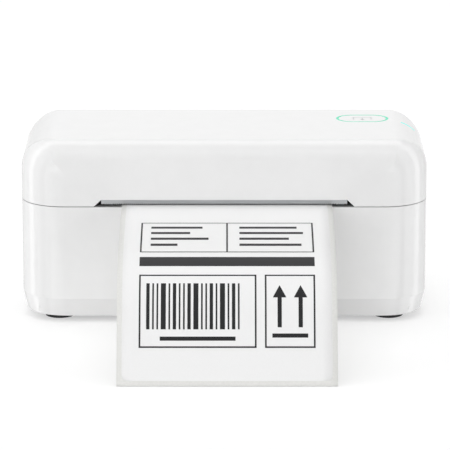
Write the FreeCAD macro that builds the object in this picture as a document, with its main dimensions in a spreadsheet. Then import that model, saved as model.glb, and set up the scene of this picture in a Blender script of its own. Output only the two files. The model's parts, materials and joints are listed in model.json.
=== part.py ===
"""Desktop direct thermal label printer with a label hanging out of its front slot.

Frame: millimetres, +Z up, +Y from the front to the rear, +X to the right as seen from the front.
The origin is on the table under the centre of the printer's body.
"""
import FreeCAD, Part
import Sketcher
import math
import os
import re

from FreeCAD import Placement, Rotation, Vector

doc = FreeCAD.newDocument("label_printer")

# Driving dimensions in millimetres, degrees and counts, by sub-part
DIMS = {
    # Casing
    "body_width": 204,
    "body_depth": 82,
    "body_height": 93,
    "foot_height": 3,
    "seam_height": 60,
    "seam_gap": 0.4,
    "wall": 2.2,
    "corner_radius": 22,
    "shoulder_radius": 17,
    "front_edge_radius": 9,
    "rear_edge_radius": 7,
    "band_height": 9.5,
    "band_inset": 2.4,
    "bottom_edge_radius": 0.8,
    "notch_width": 130,
    "notch_slant": 3.6,
    "notch_height": 3.4,
    "lip_depth": 5.5,
    "lip_thickness": 2.2,
    # Label and liner
    "label_width": 100,
    "label_length": 152.4,
    "label_thickness": 0.15,
    "label_margin": 2.5,
    "label_offset": 1.4,
    "label_corner": 3,
    "liner_width": 105,
    "liner_thickness": 0.2,
    "label_reach": 109.4,
    "label_glide_angle": 12,
    "label_fold_radius": 40,
    "label_fall_angle": 62,
    "label_tail": 4,
    "label_clearance": 0.3,
    "paper_lift": 0.6,
    # Clearances
    "fit_clearance": 0.02,
    "running_clearance": 0.05,
    "slide_clearance": 0.2,
    "seat_clearance": 0.1,
    "swing_clearance": 0.4,
    # Screws
    "screw_radius": 1.25,
    "screw_head_radius": 2.6,
    "screw_head_height": 1.6,
    "screw_grip": 6,
    # Floor tray and feet
    "tray_side_inset": 11,
    "tray_front_inset": 8.5,
    "tray_rear_inset": 11,
    "rim_height": 2.2,
    "rim_overlap": 5,
    "rim_spread": 2.5,
    "foot_radius": 7.5,
    "foot_inset": 0.3,
    "foot_bevel": 0.3,
    "vent_length": 34,
    "vent_width": 2.4,
    "vent_count": 8,
    "vent_run": 42,
    # Cover hinge
    "knuckle_radius": 5.5,
    "knuckle_start": 62.4,
    "knuckle_width": 9.2,
    "shelf_height": 0.7,
    "lug_width": 5.5,
    "hinge_pin_radius": 1.75,
    "media_slot_width": 113,
    "media_slot_height": 6,
    # Paper deck
    "deck_drop": 0.6,
    "deck_thickness": 2,
    "ledge_width": 6,
    "ledge_height": 4,
    "deck_screw_pitch": 27,
    "bay_depth": 31,
    "bay_margin": 2.4,
    # Print frame
    "frame_half": 62,
    "plate_thickness": 1.2,
    "frame_front": 8,
    "frame_length": 58,
    "frame_rise": 7,
    "flange_width": 12,
    "frame_post_radius": 4.5,
    "frame_post_front": 16,
    "frame_post_rear": 8,
    "tie_radius": 2.5,
    "tie_setback": 13,
    "tie_height": 24,
    # Platen roller
    "platen_setback": 17,
    "platen_radius": 8,
    "platen_length": 112,
    "shaft_radius": 3,
    "shaft_stub": 3.5,
    "nip_gap": 0.1,
    "bush_radius": 5,
    "bush_flange_radius": 6.5,
    "bush_flange": 1.5,
    "bush_proud": 0.4,
    # Gear train
    "gear_module": 0.8,
    "platen_teeth": 28,
    "small_teeth": 16,
    "large_teeth": 32,
    "pinion_teeth": 12,
    "gear_width": 4,
    "gear_gap": 0.5,
    "gear_offset": 1,
    "reduction_angle": 60,
    "motor_angle": 20,
    "pressure_angle": 25,
    "tooth_addendum": 0.8,
    "tooth_dedendum": 1,
    "tooth_backlash": 0.1,
    "axle_radius": 2,
    "axle_proud": 1.8,
    "clip_ring": 1.5,
    "clip_ring_thickness": 0.6,
    # Motor
    "motor_radius": 17.5,
    "motor_length": 21,
    "motor_flange": 1,
    "motor_flange_height": 10,
    "motor_screw_reach": 21,
    "motor_shaft_radius": 1,
    "motor_shaft_inside": 6,
    "motor_boss_radius": 4.5,
    # Media guides
    "guide_clearance": 0.5,
    "guide_wall": 2,
    "guide_foot": 12,
    "guide_height": 5.6,
    "guide_start": 46,
    "guide_length": 27,
    "guide_lift": 0.2,
    "guide_foot_thickness": 0.8,
    "guide_travel": 33,
    "guide_stem": 8,
    "rack_height": 3.7,
    "rack_depth": 4.5,
    "rack_module": 1,
    "rack_teeth": 14,
    "rack_setback": 60,
    "rack_overrun": 8,
    "pinion_head_radius": 4,
    "pinion_head": 1.2,
    # Gap sensor
    "sensor_x": 12,
    "sensor_setback": 37.5,
    "sensor_width": 12,
    "sensor_length": 7,
    "sensor_height": 5.4,
    # Main board and ports
    "board_gap": 4.5,
    "board_thickness": 1.6,
    "board_left": 48,
    "board_right": 38,
    "board_start": 26,
    "board_end_gap": 1.2,
    "board_post_radius": 2.6,
    "board_post_inset": 4,
    "dc_x": 36,
    "dc_width": 10,
    "dc_height": 11,
    "dc_length": 12,
    "dc_bore_radius": 3.1,
    "dc_bore_depth": 9.5,
    "dc_pin_radius": 1,
    "dc_opening_radius": 4.2,
    "usb_x": 12,
    "usb_width": 12,
    "usb_height": 11,
    "usb_length": 14,
    "usb_cavity_width": 8.6,
    "usb_cavity_height": 7.8,
    "usb_cavity_depth": 9,
    "usb_tongue_width": 5.6,
    "usb_tongue_height": 3.2,
    "usb_opening_margin": 0.9,
    # Parts on the main board, from its left front corner
    "processor_x": 30,
    "processor_y": 14,
    "processor_width": 12,
    "processor_depth": 12,
    "processor_height": 1.4,
    "motor_driver_x": 62,
    "motor_driver_y": 12,
    "motor_driver_width": 8,
    "motor_driver_depth": 8,
    "motor_driver_height": 1.2,
    "radio_module_x": 10,
    "radio_module_y": 16,
    "radio_module_width": 14,
    "radio_module_depth": 18,
    "radio_module_height": 2.4,
    "head_connector_x": 24,
    "head_connector_y": 2,
    "head_connector_width": 22,
    "head_connector_depth": 5,
    "head_connector_height": 4,
    "wire_connector_x": 0.5,
    "wire_connector_y": 42,
    "wire_connector_width": 5.5,
    "wire_connector_depth": 8,
    "wire_connector_height": 5,
    "regulator_x": 50,
    "regulator_y": 22,
    "regulator_width": 9,
    "regulator_depth": 9,
    "regulator_height": 3.5,
    "bulk_capacitor_x": 72,
    "bulk_capacitor_y": 28,
    "filter_capacitor_x": 54,
    "filter_capacitor_y": 42,
    "capacitor_radius": 4.2,
    "capacitor_height": 11,
    # Power rocker
    "switch_x": 30,
    "switch_z": 20,
    "switch_width": 24,
    "switch_height": 16,
    "switch_depth": 14,
    "switch_opening_width": 18.4,
    "switch_opening_height": 11,
    "rocker_half": 7.6,
    "rocker_height": 9.2,
    "rocker_tilt": 8,
    "rocker_pivot_depth": 5,
    "rocker_pivot_radius": 1.2,
    "rocker_stub": 0.8,
    "rocker_crest": 3,
    "rocker_dip": 1.8,
    "rocker_base": 1,
    "rocker_well": 5.8,
    # Cover frame
    "frame_drop": 13.5,
    "cover_frame_thickness": 2.5,
    "cover_frame_side": 18,
    "cover_frame_rear": 12,
    "skirt_setback": 4.4,
    "skirt_thickness": 2,
    "skirt_half": 60,
    "skirt_clearance": 4,
    "cover_boss_radius": 4,
    "cover_boss_x": 24,
    "cover_boss_front": 14,
    "cover_boss_rear": 66.5,
    "boss_root": 0.6,
    # Tear bar
    "tear_thickness": 0.6,
    "tear_height": 12,
    "tear_gap": 0.3,
    "tear_step": 3,
    "tear_blade": 2.4,
    "tear_tooth": 1,
    "tear_tooth_depth": 0.6,
    "tear_screw_x": 50,
    "tear_screw_head": 1.2,
    # Latch clips
    "clip_inset": 14,
    "clip_thickness": 1.2,
    "clip_width": 10,
    "clip_setback": 33,
    "clip_hook": 3.3,
    "clip_hook_height": 2,
    "clip_foot": 3.5,
    "catch_drop": 3.7,
    "catch_height": 4,
    "catch_bite": 2,
    "clip_tab": 4,
    "latch_room": 1.6,
    "latch_swing": 10,
    # Print head
    "head_gap": 0.1,
    "head_width": 109,
    "head_depth": 12,
    "head_ahead": 5,
    "head_thickness": 1,
    "head_board_gap": 0.4,
    "head_board_width": 96,
    "sink_width": 112,
    "sink_depth": 30,
    "sink_ahead": 6,
    "sink_thickness": 5,
    "fin_groove": 0.8,
    "fin_groove_depth": 2,
    "fin_pitch": 1.6,
    "fin_margin": 0.5,
    "fin_count": 3,
    "bracket_width": 116,
    "bracket_thickness": 1.2,
    "ear_x": 52,
    "ear_width": 8,
    "pivot_rise": 4,
    "pivot_behind": 23,
    "pivot_radius": 2,
    "pivot_ear": 4,
    "pivot_ear_x": 60,
    "pivot_ear_depth": 9,
    "spring_x": 34,
    "spring_radius": 3.6,
    "spring_wire": 0.8,
    "spring_turns": 8,
    "cup_wall": 1.5,
    # Button and lights, from the body's right side
    "button_x": 31.4,
    "button_setback": 55.2,
    "ring_length": 26.8,
    "ring_depth": 16.5,
    "ring_width": 1.1,
    "ring_height": 5,
    "button_gap": 0.2,
    "button_flange": 1.2,
    "button_flange_height": 1.3,
    "button_travel": 0.8,
    "button_board_width": 32,
    "button_board_depth": 14,
    "button_board_thickness": 1.5,
    "tact_size": 6,
    "tact_height": 1.2,
    "tact_plunger_radius": 1.6,
    "led_size": 1.8,
    "led_end_inset": 4.5,
    "led_side_inset": 2.6,
    "led_height": 1,
    "light_start": 11.9,
    "light_end": 4.9,
    "light_width": 1.9,
    "light_setback": 49.4,
    # Wire harness to the cover, from the body's left side
    "harness_radius": 1.6,
    "harness_x": 13.5,
    "harness_lift": 2.4,
    "harness_over": 4,
    "harness_setback": 70,
    "harness_hole_radius": 3.4,
}

BOARD_BLOCKS = ["processor", "motor_driver", "radio_module", "head_connector", "wire_connector", "regulator"]
BOARD_CANS = ["bulk_capacitor", "filter_capacitor"]

sheet = doc.addObject("Spreadsheet::Sheet", "dims")
for row, (alias, number) in enumerate(DIMS.items(), 1):
    sheet.set(f"A{row}", alias)
    sheet.set(f"B{row}", str(number))
    sheet.setAlias(f"B{row}", alias)
doc.recompute()

# Derived places and sizes, each a formula over the names above it
places = doc.addObject("App::FeaturePython", "places")


def ex(formula):
    """The document's expression for a formula over the sheet's and the derived names."""
    def owner(match):
        name = match.group(0)
        if name in DIMS:
            return f"dims.{name}"
        return f"places.{name}" if name in places.PropertiesList else name
    return re.sub(r"[a-z][a-z_0-9]*", owner, str(formula))


def derive(name, formula):
    """Add a derived value, bound to its formula."""
    bound = ex(formula)
    places.addProperty("App::PropertyFloat", name)
    places.setExpression(name, bound)


derive("half", "body_width / 2")
derive("front", "-body_depth / 2")
derive("rear", "body_depth / 2")
derive("inner_half", "half - wall")
derive("inner_rear", "rear - wall")
derive("floor_top", "foot_height + wall")
derive("ceiling", "body_height - wall")
derive("cover_low", "seam_height + seam_gap")
derive("hinge_y", "rear - knuckle_radius")
derive("hinge_z", "cover_low + knuckle_radius")
derive("knuckle_end", "knuckle_start + knuckle_width")
derive("paper_z", "seam_height + paper_lift")
derive("label_top", "paper_z + liner_thickness + label_thickness")
derive("deck_top", "seam_height - deck_drop")
derive("deck_low", "deck_top - deck_thickness")
derive("tray_half", "half - tray_side_inset")
derive("tray_front", "front + tray_front_inset")
derive("tray_rear", "rear - tray_rear_inset")
derive("foot_x", "tray_half - foot_radius - foot_inset")
derive("foot_front", "tray_front + foot_radius + foot_inset")
derive("foot_rear", "tray_rear - foot_radius - foot_inset")
derive("platen_y", "front + platen_setback")
derive("platen_z", "paper_z - nip_gap - platen_radius")
derive("frame_out", "frame_half + plate_thickness")
derive("frame_low", "floor_top + frame_rise")
derive("frame_start", "front + frame_front")
derive("frame_end", "front + frame_front + frame_length")
derive("gear_reach", "gear_module * (small_teeth + platen_teeth) / 2")
derive("motor_reach", "gear_module * (pinion_teeth + large_teeth) / 2")
derive("reduction_y", "platen_y + gear_reach * cos(reduction_angle)")
derive("reduction_z", "platen_z - gear_reach * sin(reduction_angle)")
derive("motor_y", "reduction_y + motor_reach * cos(motor_angle)")
derive("motor_z", "reduction_z - motor_reach * sin(motor_angle)")
derive("inner_gear", "frame_out + gear_offset")
derive("outer_gear", "inner_gear + gear_width + gear_gap")
derive("gear_end", "outer_gear + gear_width")
derive("rack_y", "front + rack_setback")
derive("rack_reach", "rack_module * rack_teeth / 2")
derive("rack_top", "deck_low - slide_clearance")
derive("rack_low", "rack_top - rack_height")
derive("guide_x", "liner_width / 2 + guide_clearance")
derive("guide_low", "deck_top + guide_lift")
derive("board_low", "floor_top + board_gap")
derive("board_top", "board_low + board_thickness")
derive("board_rear", "inner_rear - board_end_gap")
derive("dc_z", "board_top + dc_height / 2")
derive("usb_z", "board_top + usb_height / 2")
derive("usb_opening_half", "usb_cavity_width / 2 + usb_opening_margin")
derive("usb_opening_rise", "usb_cavity_height / 2 + usb_opening_margin")
derive("carrier_low", "body_height - frame_drop")
derive("carrier_top", "carrier_low + cover_frame_thickness")
derive("cup_top", "ceiling - swing_clearance")
derive("spring_seat", "cup_top - cup_wall")
derive("cup_radius", "spring_radius + spring_wire / 2 + swing_clearance")
derive("head_z", "label_top + head_gap")
derive("sink_low", "head_z + head_thickness")
derive("sink_top", "sink_low + sink_thickness")
derive("bracket_top", "sink_top + bracket_thickness")
derive("sink_front", "platen_y - sink_ahead")
derive("sink_rear", "sink_front + sink_depth")
derive("pivot_y", "platen_y + pivot_behind")
derive("pivot_z", "bracket_top + pivot_rise")
derive("tear_front", "front + skirt_setback - tear_thickness")
derive("tear_low", "label_top + tear_gap")
derive("tear_half", "notch_width / 2 - notch_slant")
derive("clip_x", "half - clip_inset")
derive("clip_y", "front + clip_setback")
derive("catch_top", "seam_height - catch_drop")
derive("catch_low", "catch_top - catch_height")
derive("hook_tip", "clip_x + clip_thickness + clip_hook")
derive("button_mid", "half - button_x")
derive("button_y", "front + button_setback")
derive("light_y", "front + light_setback")
derive("ring_low", "body_height - ring_height")
derive("flange_top", "ring_low - seat_clearance")
derive("flange_low", "flange_top - button_flange_height")
derive("button_board_top", "carrier_top + button_board_thickness")
derive("harness_mid", "half - harness_x")
derive("harness_y", "front + harness_setback")
doc.recompute()


def size(name):
    """The present number of a driving or derived dimension."""
    holder = sheet if name in DIMS else places
    return float(getattr(holder, name))


# Builders of bound primitives and booleans
SIDES = (("left", -1), ("right", 1))
TURNS = {
    "x": Rotation(Vector(0, 1, 0), 90),
    "y": Rotation(Vector(1, 0, 0), -90),
    "z": Rotation(),
}
NEAR = 0.01
nodes = []


def place_at(thing, at):
    """Bind a thing's place to three formulas."""
    for axis, formula in zip("xyz", at):
        thing.setExpression(f"Placement.Base.{axis}", ex(formula))


def box(label, x, y, z):
    """A block between a low and a high formula on each axis."""
    made = doc.addObject("Part::Box", label)
    for length, (low, high) in zip(("Length", "Width", "Height"), (x, y, z)):
        made.setExpression(length, ex(f"({high}) - ({low})"))
    place_at(made, (x[0], y[0], z[0]))
    return made


def rod(label, axis, radius, span, across):
    """A round bar along an axis; across gives its other two places in x, y, z order."""
    made = doc.addObject("Part::Cylinder", label)
    made.Placement = Placement(Vector(), TURNS[axis])
    made.setExpression("Radius", ex(radius))
    made.setExpression("Height", ex(f"({span[1]}) - ({span[0]})"))
    at = list(across)
    at.insert("xyz".index(axis), span[0])
    place_at(made, at)
    return made


def join(label, *pieces):
    made = doc.addObject("Part::MultiFuse", label)
    made.Shapes = list(pieces)
    return made


def group(label, *pieces):
    made = doc.addObject("Part::Compound", label)
    made.Links = list(pieces)
    return made


def cut(label, base, *tools):
    made = doc.addObject("Part::Cut", label)
    made.Base = base
    made.Tool = tools[0] if len(tools) == 1 else group(f"{label}_tools", *tools)
    return made


def meet(label, first, second):
    made = doc.addObject("Part::Common", label)
    made.Base = first
    made.Tool = second
    return made


def solid(label, shape):
    """A piece whose shape follows a formula that has no feature of its own."""
    made = doc.addObject("Part::Feature", label)
    made.Shape = shape
    return made


def rounded(label, base, radii, kind="Part::Fillet"):
    """Round, or bevel, the edges of base for which radii gives two numbers: a radius for each end, or
    a bevel's depth on each side."""
    doc.recompute()
    edges = []
    for number, edge in enumerate(base.Shape.Edges, 1):
        ends = radii(edge)
        if ends:
            edges.append((number, *ends))
    made = doc.addObject(kind, label)
    made.Base = base
    made.Edges = edges
    return made


def keep(thing):
    """Note a finished sub-part, whose label names its file."""
    nodes.append(thing)
    return thing


def beside(sign, low, high):
    """A span on the left (-1) or right (1) of the middle plane."""
    return (low, high) if sign > 0 else (f"-({high})", f"-({low})")


def screw(label, axis, seat, tip, across, heading):
    """A pan head screw: its head stands on seat and its shank runs to tip."""
    if heading > 0:
        head_span, shank_span = (f"{seat} - screw_head_height", seat), (seat, tip)
    else:
        head_span, shank_span = (seat, f"{seat} + screw_head_height"), (tip, seat)
    head = rod(f"{label}_head", axis, "screw_head_radius", head_span, across)
    shank = rod(f"{label}_shank", axis, "screw_radius", shank_span, across)
    return join(label, head, shank)


def new_body(label):
    return doc.addObject("PartDesign::Body", label)


def new_sketch(body, role, name):
    """A sketch on one of the body's own origin planes."""
    sketch = body.newObject("Sketcher::SketchObject", name)
    plane = next(f for f in body.Origin.OriginFeatures if f.Role == role)
    sketch.AttachmentSupport = (plane, [""])
    sketch.MapMode = "FlatFace"
    return sketch


def bind_point(sketch, curve, end, at):
    """Tie a point of a sketch to two formulas from the sketch's origin."""
    for kind, axis_line, formula in (("DistanceX", -2, at[0]), ("DistanceY", -1, at[1])):
        if formula == "0":
            sketch.addConstraint(Sketcher.Constraint("PointOnObject", curve, end, axis_line))
            continue
        number = sketch.addConstraint(Sketcher.Constraint(kind, -1, 1, curve, end, 1.0))
        sketch.setExpression(f"Constraints[{number}]", ex(formula))


def outline(sketch, corners):
    """A closed polygon through corners given as pairs of formulas."""
    count = len(corners)
    first = sketch.GeometryCount
    spots = [Vector(math.cos(math.tau * i / count), math.sin(math.tau * i / count), 0) for i in range(count)]
    for i in range(count):
        sketch.addGeometry(Part.LineSegment(spots[i], spots[(i + 1) % count]))
    for i in range(count):
        after = first + (i + 1) % count
        sketch.addConstraint(Sketcher.Constraint("Coincident", first + i, 2, after, 1))
    for i, corner in enumerate(corners):
        bind_point(sketch, first + i, 1, corner)


def circle(sketch, radius, at):
    """A circle of a bound radius and centre."""
    curve = sketch.addGeometry(Part.Circle(Vector(), Vector(0, 0, 1), 1))
    number = sketch.addConstraint(Sketcher.Constraint("Radius", curve, 1.0))
    sketch.setExpression(f"Constraints[{number}]", ex(radius))
    bind_point(sketch, curve, 3, at)


def corners_of(x, y):
    return [(x[0], y[0]), (x[1], y[0]), (x[1], y[1]), (x[0], y[1])]


def pad(body, sketch, length, name):
    feature = body.newObject("PartDesign::Pad", name)
    feature.Profile = sketch
    feature.setExpression("Length", ex(length))
    return feature


def pocket_up(body, sketch, length, name):
    """Cut from the sketch's plane upwards."""
    feature = body.newObject("PartDesign::Pocket", name)
    feature.Profile = sketch
    feature.Reversed = True
    feature.setExpression("Length", ex(length))
    return feature


def turned(label, corners, at):
    """A piece turned about the X axis from a profile of (along, radius) formulas."""
    body = new_body(label)
    sketch = new_sketch(body, "XY_Plane", f"{label}_profile")
    outline(sketch, corners)
    feature = body.newObject("PartDesign::Revolution", f"{label}_turning")
    feature.Profile = sketch
    feature.ReferenceAxis = (sketch, ["H_Axis"])
    feature.Angle = 360
    place_at(body, at)
    return body


def ring_profile(low, high, inner, outer):
    return [(low, inner), (high, inner), (high, outer), (low, outer)]


def casing_form(label, inset):
    """The rounded block of the whole casing, moved in by inset all round."""
    block = box(
        f"{label}_block",
        (f"-half + {inset}", f"half - {inset}"),
        (f"front + {inset}", f"rear - {inset}"),
        (f"foot_height + {inset}", f"body_height - {inset}"),
    )
    doc.recompute()
    bounds = block.Shape.BoundBox
    step = bounds.YMin - size("front")
    corner = size("corner_radius") - step
    shoulder = size("shoulder_radius") - step
    front_edge = size("front_edge_radius") - step
    rear_edge = size("rear_edge_radius") - step
    band, slope = size("band_height"), size("band_inset")
    # The band keeps its slope, so that the wall is as thick there
    shrink = 1 + step * (math.hypot(band, slope) - band - slope) / (band * slope)

    def shoulder_edges(edge):
        box_of = edge.BoundBox
        if box_of.ZMin > bounds.ZMax - NEAR and box_of.YLength > NEAR and box_of.XLength < NEAR:
            return shoulder, shoulder

    def rim_edges(edge):
        box_of = edge.BoundBox
        if box_of.YLength > NEAR or box_of.ZMax < bounds.ZMin + NEAR:
            return None
        top = front_edge if box_of.YMax < 0 else rear_edge
        if box_of.XLength < NEAR:
            return corner, corner
        if box_of.ZLength < NEAR:
            return top, top
        return (corner, top) if edge.CenterOfMass.x < 0 else (top, corner)

    def bottom_edges(edge):
        if edge.BoundBox.ZMax < bounds.ZMin + NEAR:
            return band * shrink, slope * shrink

    arched = rounded(f"{label}_arched", block, shoulder_edges)
    rimmed = rounded(f"{label}_rimmed", arched, rim_edges)
    return rounded(label, rimmed, bottom_edges, "Part::Chamfer")


def lowest_edges(edge):
    if edge.BoundBox.ZMax < size("foot_height") + NEAR:
        return size("bottom_edge_radius"), size("bottom_edge_radius")


outer_form = rounded("casing_outer", casing_form("casing_banded", "0"), lowest_edges)
inner_form = casing_form("casing_inner", "wall")
EVERY_X = ("-body_width", "body_width")
EVERY_Y = ("-body_depth", "body_depth")
THROUGH_TOP = ("carrier_low", "body_height + wall")


# Lower housing: the tub below the seam
def tray_opening(label, grow, z):
    return box(
        label,
        (f"-tray_half - {grow}", f"tray_half + {grow}"),
        (f"tray_front - {grow}", f"tray_rear + {grow}"),
        z,
    )


RIM_SPOTS = (
    ("-tray_half + rim_overlap / 2", "0"),
    ("tray_half - rim_overlap / 2", "0"),
    ("0", "tray_front + rim_overlap / 2"),
    ("0", "tray_rear - rim_overlap / 2"),
)
LEDGE_SPOTS = [
    (f"{sign} * (inner_half - ledge_width / 2)", f"{end} * deck_screw_pitch / 2")
    for _, sign in SIDES
    for end in (-1, 1)
]


def make_lower_housing():
    below = box("below_seam", EVERY_X, EVERY_Y, ("-foot_height", "seam_height"))
    tub = cut("tub", meet("tub_block", outer_form, below), inner_form)
    opened = cut("tub_opened", tub, tray_opening("tub_opening", "slide_clearance", ("0", "floor_top")))
    rim = cut(
        "tub_rim",
        tray_opening("rim_outside", "rim_spread", ("floor_top", "floor_top + rim_height")),
        tray_opening("rim_inside", "-rim_overlap", ("0", "seam_height")),
    )
    added = [
        opened,
        rim,
        box(
            "exit_lip",
            ("-notch_width / 2", "notch_width / 2"),
            ("front + wall / 2", "front + lip_depth"),
            ("seam_height - lip_thickness", "seam_height"),
        ),
    ]
    holes = []
    for side, sign in SIDES:
        added.append(box(
            f"deck_ledge_{side}",
            beside(sign, "inner_half - ledge_width", "half - wall / 2"),
            ("front + corner_radius", "rear - corner_radius"),
            ("deck_low - ledge_height", "deck_low"),
        ))
        added.append(box(
            f"latch_catch_{side}",
            beside(sign, "hook_tip - catch_bite", "half - wall / 2"),
            ("clip_y - clip_width / 2 - wall", "clip_y + clip_width / 2 + wall"),
            ("catch_low", "catch_top"),
        ))
        knuckle = beside(sign, "knuckle_start", "knuckle_end")
        added.append(rod(f"base_knuckle_{side}", "x", "knuckle_radius", knuckle, ("hinge_y", "hinge_z")))
        added.append(box(
            f"knuckle_neck_{side}", knuckle, ("hinge_y - knuckle_radius", "hinge_y"),
            ("seam_height", "hinge_z"),
        ))
        # The shelf stays low, because the open cover's rear wall swings down over it
        added.append(box(
            f"knuckle_shelf_{side}", knuckle, ("hinge_y", "rear"),
            ("seam_height", "seam_height + shelf_height"),
        ))
        added.append(box(
            f"knuckle_root_{side}", knuckle, ("inner_rear", "rear"),
            ("seam_height - wall", "seam_height + shelf_height"),
        ))
        holes.append(rod(
            f"knuckle_bore_{side}", "x", "hinge_pin_radius + running_clearance",
            beside(sign, "knuckle_start - wall", "knuckle_end + wall"), ("hinge_y", "hinge_z"),
        ))
    for number, (x, y) in enumerate(RIM_SPOTS, 1):
        holes.append(rod(
            f"rim_hole_{number}", "z", "screw_radius + fit_clearance",
            ("floor_top - wall", "floor_top + rim_height + wall"), (x, y),
        ))
    for number, (x, y) in enumerate(LEDGE_SPOTS, 1):
        holes.append(rod(
            f"ledge_hole_{number}", "z", "screw_radius + fit_clearance",
            ("deck_low - ledge_height - wall", "deck_low + wall"), (x, y),
        ))
    rear_wall = ("inner_rear - wall", "rear + wall")
    holes.append(box(
        "port_pocket",
        ("-board_left - slide_clearance", "switch_x + switch_width / 2 + slide_clearance"),
        ("inner_rear - band_inset", "inner_rear"),
        ("board_low - slide_clearance", "switch_z + switch_height / 2 + slide_clearance"),
    ))
    holes.append(rod("dc_opening", "y", "dc_opening_radius", rear_wall, ("-dc_x", "dc_z")))
    holes.append(box(
        "usb_opening",
        ("-usb_x - usb_opening_half", "-usb_x + usb_opening_half"),
        rear_wall,
        ("usb_z - usb_opening_rise", "usb_z + usb_opening_rise"),
    ))
    holes.append(box(
        "switch_opening",
        ("switch_x - switch_opening_width / 2", "switch_x + switch_opening_width / 2"),
        rear_wall,
        ("switch_z - switch_opening_height / 2", "switch_z + switch_opening_height / 2"),
    ))
    return keep(cut("lower_housing", join("tub_with_fittings", *added), *holes))


make_lower_housing()


# Floor tray with its posts and vents, feet and screws
FRAME_POSTS = [
    (f"{sign} * (frame_half - flange_width / 2)", f"{end}")
    for _, sign in SIDES
    for end in ("frame_start + frame_post_front", "frame_end - frame_post_rear")
]
BOARD_POSTS = [
    (x, y)
    for x in ("-board_left + board_post_inset", "board_right - board_post_inset")
    for y in ("front + board_start + board_post_inset", "tray_rear - rim_overlap - board_post_inset")
]


def make_base_tray():
    body = new_body("base_tray")
    floor = new_sketch(body, "XY_Plane", "tray_outline")
    outline(floor, corners_of(("-tray_half", "tray_half"), ("tray_front", "tray_rear")))
    pad(body, floor, "wall", "tray_floor")
    for posts, radius, height, name in (
        (FRAME_POSTS, "frame_post_radius", "frame_low - foot_height", "frame_posts"),
        (BOARD_POSTS, "board_post_radius", "board_low - foot_height", "board_posts"),
    ):
        plan = new_sketch(body, "XY_Plane", f"{name}_plan")
        for spot in posts:
            circle(plan, radius, spot)
        pad(body, plan, height, name)
    doc.recompute()
    whole = body.Shape.Volume
    holes = new_sketch(body, "XY_Plane", "tray_holes_plan")
    for spot in (*RIM_SPOTS, *FRAME_POSTS, *BOARD_POSTS):
        circle(holes, "screw_radius + fit_clearance", spot)
    pocket_up(body, holes, "seam_height", "tray_holes")
    vent_plan = new_sketch(body, "XY_Plane", "vent_plan")
    outline(vent_plan, corners_of(
        ("-vent_run / 2 - vent_width / 2", "-vent_run / 2 + vent_width / 2"),
        ("-vent_length / 2", "vent_length / 2"),
    ))
    vent = pocket_up(body, vent_plan, "wall * 2", "vent")
    doc.recompute()
    vents = body.newObject("PartDesign::LinearPattern", "vents")
    vents.Originals = [vent]
    vents.Direction = (vent_plan, ["H_Axis"])
    vents.setExpression("Length", ex("vent_run"))
    vents.setExpression("Occurrences", ex("vent_count"))
    body.Tip = vents
    place_at(body, ("0", "0", "foot_height"))
    doc.recompute()
    if not body.Shape.Volume < whole:
        raise ValueError("the tray's holes cut nothing")
    return keep(body)


make_base_tray()


def make_feet():
    feet = []
    for x in ("-foot_x", "foot_x"):
        for y in ("foot_front", "foot_rear"):
            pillar = rod(f"foot_pillar_{len(feet)}", "z", "foot_radius", ("0", "foot_height"), (x, y))
            bevel = size("foot_bevel")
            feet.append(rounded(
                f"foot_{len(feet)}", pillar,
                lambda edge: (bevel, bevel) if edge.BoundBox.ZMax < NEAR else None,
            ))
    return keep(group("rubber_feet", *feet))


make_feet()
keep(group("base_screws", *[
    screw(f"base_screw_{number}", "z", "foot_height", "floor_top + rim_height", spot, 1)
    for number, spot in enumerate(RIM_SPOTS, 1)
]))


# Paper deck on the housing's ledges
deck_form = casing_form("deck_form", "(wall + slide_clearance)")


def guide_slot(side, sign):
    """The slot that a guide's stem runs in: the left guide's rack is the front one."""
    row = f"rack_y + {sign} * (rack_reach + rack_depth / 2)"
    return box(
        f"guide_slot_{side}",
        beside(
            sign,
            "guide_x + guide_wall - guide_stem - guide_travel - slide_clearance * 2",
            "guide_x + guide_wall + slide_clearance * 2",
        ),
        (f"{row} - rack_depth / 2 + slide_clearance", f"{row} + rack_depth / 2"),
        ("deck_low - wall", "deck_top + wall"),
    )


def make_paper_deck():
    through = ("deck_low - wall", "deck_top + wall")
    plate = meet("deck_plate", deck_form, box("deck_slab", EVERY_X, EVERY_Y, ("deck_low", "deck_top")))
    axle = rod(
        "guide_axle", "z", "axle_radius", ("rack_low - slide_clearance", "deck_low"), ("0", "rack_y"),
    )
    holes = [
        box(
            "roller_bay",
            ("-frame_out - bay_margin", "gear_end + bay_margin"),
            ("front", "front + bay_depth"),
            through,
        ),
        box(
            "sensor_window",
            ("sensor_x - sensor_width / 2 - seat_clearance", "sensor_x + sensor_width / 2 + seat_clearance"),
            (
                "front + sensor_setback - sensor_length / 2 - seat_clearance",
                "front + sensor_setback + sensor_length / 2 + seat_clearance",
            ),
            through,
        ),
        rod("harness_hole", "z", "harness_hole_radius", through, ("-harness_mid", "harness_y")),
        rod(
            "guide_axle_bore", "z", "screw_radius + fit_clearance",
            ("rack_low - wall", "deck_low"), ("0", "rack_y"),
        ),
    ]
    for side, sign in SIDES:
        holes.append(guide_slot(side, sign))
        holes.append(box(
            f"latch_slot_{side}",
            beside(sign, "clip_x - latch_room", "hook_tip + swing_clearance * 2"),
            ("clip_y - clip_width / 2 - latch_swing", "clip_y + clip_width / 2 + wall"),
            through,
        ))
    for number, spot in enumerate(LEDGE_SPOTS, 1):
        holes.append(rod(f"deck_hole_{number}", "z", "screw_radius + fit_clearance", through, spot))
    return keep(cut("paper_deck", join("deck_with_axle", plate, axle), *holes))


make_paper_deck()
keep(group("deck_screws", *[
    screw(f"deck_screw_{number}", "z", "deck_top", "deck_low - ledge_height", spot, -1)
    for number, spot in enumerate(LEDGE_SPOTS, 1)
]))

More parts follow.
